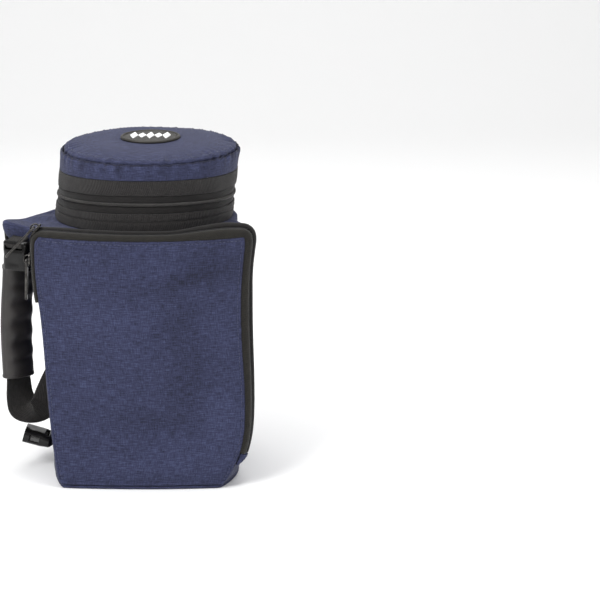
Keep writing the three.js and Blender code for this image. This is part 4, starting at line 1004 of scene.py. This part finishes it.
# Handle strap. One length of 25 mm webbing comes out of the left side seam, turns up through the grip and is
# sewn flat on the outer face of the ear.
WEBBING = 25.0
WEBBING_THICK = 2.2
STRAP_FOOT = 45.0
STRAP_HEAD = 201.0
STRAP_STAND = 30.8
STRAP_BACK = 6.0
SEAM_SPOT = (-72.0, -24.5)
SEAM_FACE = -75.2
SEAM_DEPTH = 1.4
WEBBING_DARK = (0.0075, 0.0065, 0.006, 1)
WEBBING_LIGHT = (0.024, 0.021, 0.0195, 1)
STRAP_ROUTE = np.array([
    # out, back and up in shares, then how many degrees the inner face is turned and looks up
    (-0.195, 0.00, 0.250, 14, 0), (0.016, 0.00, 0.176, 14, 0), (0.201, 0.00, 0.099, 14, -6),
    (0.357, 0.00, 0.035, 14, -18), (0.636, 0.00, 0.000, 16, -26), (0.909, 0.15, 0.023, 26, -18),
    (1.013, 0.42, 0.080, 38, -6), (1.042, 0.70, 0.147, 47, 0), (1.055, 0.90, 0.218, 52, 0),
    (1.062, 1.00, 0.327, 52, 0), (1.058, 1.02, 0.468, 52, 0), (1.019, 1.02, 0.603, 52, 0),
    (0.971, 1.00, 0.737, 52, 0), (0.971, 1.10, 0.853, 54, 0), (1.003, 1.32, 0.923, 56, 0),
    (1.023, 1.37, 0.987, 56, 0)])
knots = np.stack([SEAM_SPOT[0] - STRAP_ROUTE[:, 0] * STRAP_STAND,
                  SEAM_SPOT[1] + STRAP_ROUTE[:, 1] * STRAP_BACK,
                  STRAP_FOOT + STRAP_ROUTE[:, 2] * (STRAP_HEAD - STRAP_FOOT)], axis=1)
knot_steps = np.sqrt(np.linalg.norm(np.diff(knots, axis=0), axis=1))
knot_places = np.append(0, np.cumsum(knot_steps))


def strap_frame(place):
    """Point of the strap's centre line, its width direction and its inner face's normal, at each place."""
    line = np.stack([through(place, knot_places, knots[:, axis]) for axis in range(3)], axis=1)
    turn = np.radians(through(place, knot_places, STRAP_ROUTE[:, 3]))
    lean = np.radians(through(place, knot_places, STRAP_ROUTE[:, 4]))
    forward = directions(line)
    face = stacked(np.sin(turn) * np.cos(lean), -np.cos(turn) * np.cos(lean), np.sin(lean))
    face = face - forward * np.sum(face * forward, axis=1, keepdims=True)
    face /= np.linalg.norm(face, axis=1, keepdims=True)
    return line, np.cross(forward, face), face


def strap_rings(place, across, facing):
    """Rings carried along the strap: across says how far each point lies along its width, and facing how far
    along its inner face's normal."""
    line, beside, face = strap_frame(place)
    return line[:, None] + beside[:, None] * across[..., None] + face[:, None] * facing[..., None]


def squared(wave, power):
    """A sine or cosine raised to a power with its sign kept, which squares off the circle that it draws."""
    return np.sign(wave) * np.abs(wave) ** power


def flat_section(width, thickness, sides=36):
    """Oblong with round edges, as webbing is cut through: how far its points lie across and facing."""
    turn = np.linspace(0, 2 * np.pi, sides, endpoint=False)
    return squared(np.cos(turn), 0.35) * width / 2, squared(np.sin(turn), 0.35) * thickness / 2


def capped(rings):
    """Closes both ends of a bar by drawing its last rings in to their middles."""
    first, last = rings[:1].mean(axis=1, keepdims=True), rings[-1:].mean(axis=1, keepdims=True)
    return np.concatenate([first + (rings[:1] - first) * 0.002, first + (rings[:1] - first) * 0.97, rings,
                           last + (rings[-1:] - last) * 0.97, last + (rings[-1:] - last) * 0.002])


strap_places = np.linspace(0, knot_places[-1], 240)
webbing_finish = ribbed("handle_webbing", WEBBING_DARK, WEBBING_LIGHT, 1.4, 0.0, 0.6)
strap_points = strap_rings(strap_places, *flat_section(WEBBING, WEBBING_THICK))
below_ear = strap_points[..., 2] < 0.7 * STRAP_HEAD
strap_points[..., 0] = np.minimum(strap_points[..., 0], np.where(below_ear, SEAM_FACE + SEAM_DEPTH, np.inf))
strap = surface("strap_webbing", capped(strap_points)[:, ::-1], wrap=True, caps=(0, -1))
piece(strap, webbing_finish, ["handle_strap"])

# Grip. A rounded sleeve of soft moulded rubber on the strap, with four finger hollows on the face toward the
# case, a raised collar at each end and a parting line down both edges.
GRIP_WIDTH = 28.5
GRIP_THICK = 17.5
GRIP_BOTTOM = 74.0
GRIP_TOP = 170.0
GRIP_COLLAR = 0.35
GRIP_SWELL = 1.2
PART_LINE = 0.35
PAST_TURN = 6
MOUTH_SINK = 0.4
FINGER_HOLLOW = 2.8
FINGER_PITCH = 16.5
GRIP_COLOUR = (0.017, 0.0150, 0.0142, 1)


def place_at(z):
    """Place along the strap where its centre line has a height, past the turn at its foot."""
    places = np.linspace(knot_places[PAST_TURN], knot_places[-1], 400)
    return np.interp(z, through(places, knot_places, knots[:, 2]), places)


def grip_rings(shares, sides=64):
    """Rings of the grip at shares of its length: an oval section, pressed in at the fingers' face."""
    places = place_at(GRIP_BOTTOM) + (place_at(GRIP_TOP) - place_at(GRIP_BOTTOM)) * shares
    length = GRIP_TOP - GRIP_BOTTOM
    from_end = (np.minimum(shares, 1 - shares) * length)[:, None]
    turn = np.linspace(0, 2 * np.pi, sides, endpoint=False)[None, :]
    cos, sin = np.cos(turn), np.sin(turn)
    collar = GRIP_COLLAR * (1 - ease(3.4, 4.4, from_end)) - 0.9 * hump(from_end, 0.7)
    swell = GRIP_SWELL * np.sin(np.pi * shares)[:, None]
    wave = np.sin(((shares - 0.5) * length / FINGER_PITCH + 0.5) * np.pi)[:, None] ** 2
    hollow = FINGER_HOLLOW * wave * ease(12, 20, from_end) * np.clip(sin, 0, 1) ** 0.6
    half_wide = GRIP_WIDTH / 2 + collar - PART_LINE * hump(sin, 0.03)
    half_deep = GRIP_THICK / 2 + collar + swell - hollow
    return strap_rings(places, squared(cos, 0.8) * half_wide, squared(sin, 0.85) * half_deep)


grip_shares = np.concatenate([np.linspace(0, 0.055, 12), np.linspace(0.06, 0.94, 130),
                              np.linspace(0.945, 1, 12)])
outside = grip_rings(grip_shares)
bore = flat_section(WEBBING + 1.4, WEBBING_THICK + 1.2, 64)
mouth = strap_rings(place_at(np.array([GRIP_BOTTOM + MOUTH_SINK, GRIP_TOP - MOUTH_SINK])), *bore)
grip_points = np.concatenate([mouth[:1], outside, mouth[1:]])


def leathery(name, colour):
    """Soft moulded rubber with a pebbled grain and paler rubbed ridges."""
    made, tree, shader = blank(name, roughness=0.5, specular=0.45)
    source = knot(tree, "TexCoord").outputs["Object"]
    cells = knot(tree, "TexVoronoi", {"Vector": source, "Scale": 620.0}, feature="DISTANCE_TO_EDGE")
    wear = stretched(tree, source, (55, 55, 30), (0, 0, 0), 5.0)
    coloured(tree, shader, wear, [(0.38, colour), (0.72, lightened(colour, 2.1))])
    glossed(tree, shader, wear, 0.40, 0.62)
    embossed(tree, shader, total(tree, (cells.outputs["Distance"], 2.0), (wear, 0.5)), 0.35, 0.0002)
    return made


grip_finish = leathery("grip_rubber", GRIP_COLOUR)
sleeve = surface("grip_sleeve", grip_points[:, ::-1], wrap=True, close=True)
piece(sleeve, grip_finish, ["handle_grip"])

# Zip sliders and pulls. Cast sliders with a bridge, each with a flat pull that swings on it: two on the
# pocket's zip at its upper left corner, and one on the lid's zip at the back.
SLIDER_LENGTH = 11.0
SLIDER_WIDTH = 8.4
PULL_LENGTH = 34.0
PULL_WIDTH = 7.6
PULL_ROUNDING = 0.5
PIN_RADIUS = 0.9
DECK = 1.6
DECK_ROUNDING = 0.45
BRIDGE_REACH = 3.4
BRIDGE_RISE = 4.0
SHARP_ANGLE = 40.0
PIN_HEIGHT = DECK / 2 + GAP + PIN_RADIUS * np.sqrt(2)
UPPER_FACING = (-0.724, 0, 0.690)
LOWER_FACING = (-0.999, 0, 0.041)
LID_SLIDER_ANGLE = 112.0
METAL_COLOUR = (0.040, 0.038, 0.036, 1)


def cast_metal(name, colour):
    """Dark plated metal: slightly uneven polish, with bright rubbed places."""
    made, tree, shader = blank(name, roughness=0.28, metallic=1.0)
    source = knot(tree, "TexCoord").outputs["Object"]
    wear = stretched(tree, source, (220, 220, 220), (0, 0, 0), 5.0)
    coloured(tree, shader, wear, [(0.40, colour), (0.75, lightened(colour, 3.2))])
    glossed(tree, shader, wear, 0.20, 0.42)
    embossed(tree, shader, wear, 0.25, 0.0001)
    return made


def placed(origin, x_axis, y_axis):
    """Function that takes points from a local frame to the case's frame."""
    y_axis = np.array(y_axis, float) / np.linalg.norm(y_axis)
    z_axis = np.cross(x_axis, y_axis)
    z_axis /= np.linalg.norm(z_axis)
    x_axis = np.cross(y_axis, z_axis)
    axes = np.stack([x_axis, y_axis, z_axis])
    return lambda points: origin + points @ axes


def joined(name, meshes):
    """One mesh from several, smooth but for its sharp edges."""
    vertices, faces, start = [], [], 0
    for mesh in meshes:
        vertices += [tuple(v.co) for v in mesh.vertices]
        faces += [[start + v for v in f.vertices] for f in mesh.polygons]
        start += len(mesh.vertices)
        bpy.data.meshes.remove(mesh)
    made = bpy.data.meshes.new(name)
    made.from_pydata(vertices, [], faces)
    made.polygons.foreach_set("use_smooth", [True] * len(faces))
    made.set_sharp_from_angle(angle=np.radians(SHARP_ANGLE))
    return made


def slider_mesh(name, place):
    """Slider: a waisted deck with rounded edges and an arched bridge along it."""
    turn = np.linspace(0, 2 * np.pi, 40, endpoint=False)
    waist = 1 - 0.16 * np.cos(turn * 2 + np.pi) * (np.sin(turn) < 0)
    deck_outline = np.stack([squared(np.cos(turn) * waist, 0.75) * SLIDER_WIDTH / 2,
                             squared(np.sin(turn), 0.75) * SLIDER_LENGTH / 2], axis=1)
    deck = plate(name + "_deck", [deck_outline], DECK, DECK_ROUNDING, place)
    bow = np.linspace(0, np.pi, 20)
    line = stacked(0, -BRIDGE_REACH * np.cos(bow), 0.5 + BRIDGE_RISE * np.sin(bow) ** 0.6)
    bridge = tube(name + "_bridge", line, np.broadcast_to((1.0, 0, 0), line.shape), (1.1, 0.6), 10)
    return joined(name, [deck, moved(bridge, place)])


def pull_mesh(name, place):
    """Pull: a flat tapered bar with an eye for the bridge and a slot near its free end."""
    middle = PIN_RADIUS - PULL_LENGTH / 2
    outline = rounded_outline(PULL_WIDTH, PULL_LENGTH, 2.8, (0, middle))
    taper = 1 - 0.14 * ease(0, -PULL_LENGTH * 0.4, outline[:, 1]) * (outline[:, 1] < 0)
    outline = outline * np.stack([taper, np.ones_like(taper)], 1)
    eye = rounded_outline(3.3, 5.2, 1.4, (0, -PIN_RADIUS - 2.7))
    slot = rounded_outline(0.42 * PULL_WIDTH, 0.46 * PULL_LENGTH, 0.2 * PULL_WIDTH, (0, -0.62 * PULL_LENGTH))
    return joined(name, [plate(name + "_bar", [outline, eye, slot], 2 * PIN_RADIUS, PULL_ROUNDING, place)])


def add_slider(slider, pull, node, pull_node, body_name, normal, forward):
    """Slider and its pull, placed from the pull's pin: normal points off the zip, forward along it."""
    joint = next(j for j in frame["joints"] if j["name"] == body_name + "_hinge")
    pin = np.array(joint["pos_m"]) / MM
    place = placed(pin - normal * PIN_HEIGHT, np.cross(forward, normal), forward)
    piece(slider_mesh(slider, place), metal_finish, [node])
    bar = pull_mesh(pull, lambda points: place(points + (0, 0, PIN_HEIGHT)))
    piece(bar, metal_finish, [pull_node], body_name)


metal_finish = cast_metal("gunmetal", METAL_COLOUR)
for level, normal in (("upper", np.array(UPPER_FACING)), ("lower", np.array(LOWER_FACING))):
    add_slider("pocket_slider_body_" + level, "pocket_pull_bar_" + level, "pocket_slider_" + level,
               "pocket_pull_" + level, level + "_pull", normal, np.cross((0, 1, 0), normal))
normal = on_plan(LID_SLIDER_ANGLE, 1, 0)
add_slider("lid_slider_body", "lid_pull_bar", "lid_zip_slider", "lid_pull_tab", "lid_pull", normal,
           np.cross(normal, (0, 0, 1)))

# Buckle halves. Two glossy moulded sockets for 15 mm webbing, hollow from the open end, with a window in each
# edge for the prongs and a bar that the webbing tab goes round.
BUCKLE_WIDTH = 20.5
BUCKLE_LENGTH = 22.0
BUCKLE_THICK = 9.0
BUCKLE_WALL = 1.5
BUCKLE_ROUNDING = 0.3
TAB_WEBBING = 15.0
TAB_THICK = 1.5
SIDE_WINDOW = (-6.2, 2.4)
BAR_SLOT = (5.4, 8.9)
UPPER_TURN = 26.0
UPPER_STAND = 6.8
LOWER_RISE = 16.0
BUCKLE_COLOUR = (0.0035, 0.0032, 0.0032, 1)
buckle_finish = plastic("buckle_gloss", BUCKLE_COLOUR, 0.2, 500, 0.00001, 0.3)


def buckle_mesh(name, place):
    """Tube of squared oval section along the buckle, drawn in to its middle at the bar's end. The faces in
    its windows and in the slot past the bar are left out."""
    along = np.concatenate([np.linspace(-1, 0.94, 44), [0.98, 1.0, 1.0, 1.0]])
    shrink = np.concatenate([np.ones(44), [0.96, 0.86, 0.5, 0.002]])[:, None]
    turn = np.linspace(0, 2 * np.pi, 56, endpoint=False)[None, :]
    cos, sin = np.cos(turn), np.sin(turn)
    waist = 1 - 0.05 * hump(along - 0.1, 0.35)[:, None]
    thin = 1 - 0.22 * ease(0.2, 0.9, along)[:, None]
    x = squared(cos, 0.45) * BUCKLE_WIDTH / 2 * waist * shrink
    z = squared(sin, 0.55) * BUCKLE_THICK / 2 * thin * shrink
    z = z - np.sign(sin) * 0.5 * hump(along + 0.45, 0.25)[:, None] * hump(x, 5.0)
    points = stacked(x, along[:, None] * BUCKLE_LENGTH / 2, z)
    mesh = surface(name, place(points), wrap=True)
    y = (along[:-1] + along[1:])[:, None] / 2 * BUCKLE_LENGTH / 2
    in_window = (np.abs(cos) > 0.972) & (y > SIDE_WINDOW[0]) & (y < SIDE_WINDOW[1])
    past_bar = (np.abs(x[:-1]) < TAB_WEBBING / 2 + 0.4) & (np.abs(sin) > 0.3)
    in_slot = past_bar & (y > BAR_SLOT[0]) & (y < BAR_SLOT[1])
    kept = ~(in_window | in_slot).ravel()
    faces = [tuple(face.vertices) for face, keep in zip(mesh.polygons, kept) if keep]
    corners = corner_places(mesh) * MM
    bpy.data.meshes.remove(mesh)
    made = bpy.data.meshes.new(name)
    made.from_pydata(corners.tolist(), [], faces)
    made.polygons.foreach_set("use_smooth", [True] * len(faces))
    return made


def tab_mesh(name, run, place):
    """Webbing tab: a flat section carried under the bar, through the slot, over the bar and to its seam."""
    end = BUCKLE_LENGTH / 2
    over = BUCKLE_THICK / 2 * 0.8 + TAB_THICK / 2
    spots = [(end - 4.2, -over * 0.6), (end - 4.0, 0), (end - 3.6, over * 0.75), (end - 2.0, over),
             (end - 0.3, over * 0.9), *[(end + y, z) for y, z in run]]
    line = stacked(0, *rounded_run(spots, 50))
    forward = directions(line)
    face = stacked(0, -forward[:, 2], forward[:, 1])
    across, facing = flat_section(TAB_WEBBING, TAB_THICK, 28)
    rings = line[:, None] + across[:, None] * (1.0, 0, 0) + face[:, None] * facing[:, None]
    return surface(name, place(capped(rings))[:, ::-1], wrap=True, caps=(0, -1))


def middle_of(node):
    """Middle of a node's box, in millimetres."""
    low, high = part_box(node)
    return (np.array(low) + np.array(high)) / 2 / MM


upper_place = placed(middle_of("upper_buckle"), on_plan(-UPPER_TURN, 1, 0), (0, 0, 1))
flat = 1.05 - UPPER_STAND
rise = np.radians(LOWER_RISE)
lower_place = placed(middle_of("lower_buckle"), (0, 1, 0), (np.cos(rise), 0, -np.sin(rise)))
for level, place, run in (
        ("upper", upper_place, [(1.4, 1.6), (2.2, -1.4), (3.2, flat * 0.92), (5.2, flat)]),
        ("lower", lower_place, [(1.6, 2.4), (2.6, 1.2), (4.4, 0.6)])):
    shell = piece(buckle_mesh(level + "_buckle_socket", place), buckle_finish, [level + "_buckle"])
    thicken(shell, BUCKLE_WALL)
    rounding = shell.modifiers.new("rounding", "BEVEL")
    rounding.width = BUCKLE_ROUNDING * MM
    rounding.segments = 2
    rounding.angle_limit = np.radians(50)
    piece(tab_mesh(level + "_buckle_webbing", run, place), webbing_finish, [level + "_buckle_tab"])

# Stage. A pale floor that bends up into a backdrop, a white room, three soft lights, and a camera that stands
# where the photograph was taken from.
FLOOR_COLOUR = (0.95, 0.95, 0.95, 1)
FLOOR_DROP = 0.05
FLOOR_HALF = 3500.0
FLOOR_FRONT = -3000.0
BEND_START = 1500.0
BEND_RADIUS = 900.0
BACKDROP_TOP = 4000.0
ROOM_LIGHT = 0.52
CASE_MIDDLE = (0, 0, 130)
LID_MIDDLE = (0, 0, 150)
CAMERA_TILT = 14.5
CAMERA_DISTANCE = 1730.0
CAMERA_AIM = np.array((127.0, 0.0, 133.5))
LENS = 126
SENSOR = 36
NEAREST = 50.0
bend = np.linspace(0, np.pi / 2, 16)
sweep_y = np.concatenate([[FLOOR_FRONT], BEND_START + BEND_RADIUS * np.sin(bend), [BEND_START + BEND_RADIUS]])
sweep_z = np.concatenate([[0], BEND_RADIUS * (1 - np.cos(bend)), [BACKDROP_TOP]])
floor_x = np.array([-FLOOR_HALF, FLOOR_HALF])[None, :]
floor_points = stacked(floor_x, sweep_y[:, None], sweep_z[:, None] - FLOOR_DROP)
floor_mesh = surface("floor", floor_points)
floor = bpy.data.objects.new("floor", floor_mesh)
bpy.context.scene.collection.objects.link(floor)
floor_finish, _, floor_shader = blank("pale_floor", roughness=0.9, specular=0.1)
floor_shader.inputs["Base Color"].default_value = FLOOR_COLOUR
floor_mesh.materials.append(floor_finish)

world = bpy.data.worlds.new("studio")
bpy.context.scene.world = world
world.use_nodes = True
room = world.node_tree.nodes["Background"]
room.inputs["Color"].default_value = (1, 1, 1, 1)
room.inputs["Strength"].default_value = ROOM_LIGHT


def soft_light(name, place, aim, size, power):
    """Square area light at a place, in millimetres, turned to what it lights."""
    lamp = bpy.data.lights.new(name, "AREA")
    lamp.size = size * MM
    lamp.energy = power
    made = bpy.data.objects.new(name, lamp)
    bpy.context.scene.collection.objects.link(made)
    made.location = Vector(place) * MM
    made.rotation_euler = (Vector(aim) - Vector(place)).to_track_quat("-Z", "Y").to_euler()


soft_light("key_light", (-900, -1100, 1500), CASE_MIDDLE, 800, 24)
soft_light("fill_light", (1300, -900, 1000), CASE_MIDDLE, 1100, 8)
soft_light("top_light", (0, 200, 1800), LID_MIDDLE, 1400, 19)
bpy.context.scene.view_settings.view_transform = "Standard"

tilt = np.radians(CAMERA_TILT)
look = np.array((0, np.cos(tilt), -np.sin(tilt)))
lens = bpy.data.cameras.new("camera")
lens.lens = LENS
lens.sensor_width = SENSOR
lens.clip_start = NEAREST * MM
camera = bpy.data.objects.new("camera", lens)
bpy.context.scene.collection.objects.link(camera)
camera.location = (CAMERA_AIM - look * CAMERA_DISTANCE) * MM
camera.rotation_euler = (np.pi / 2 - tilt, 0, 0)
bpy.context.scene.camera = camera
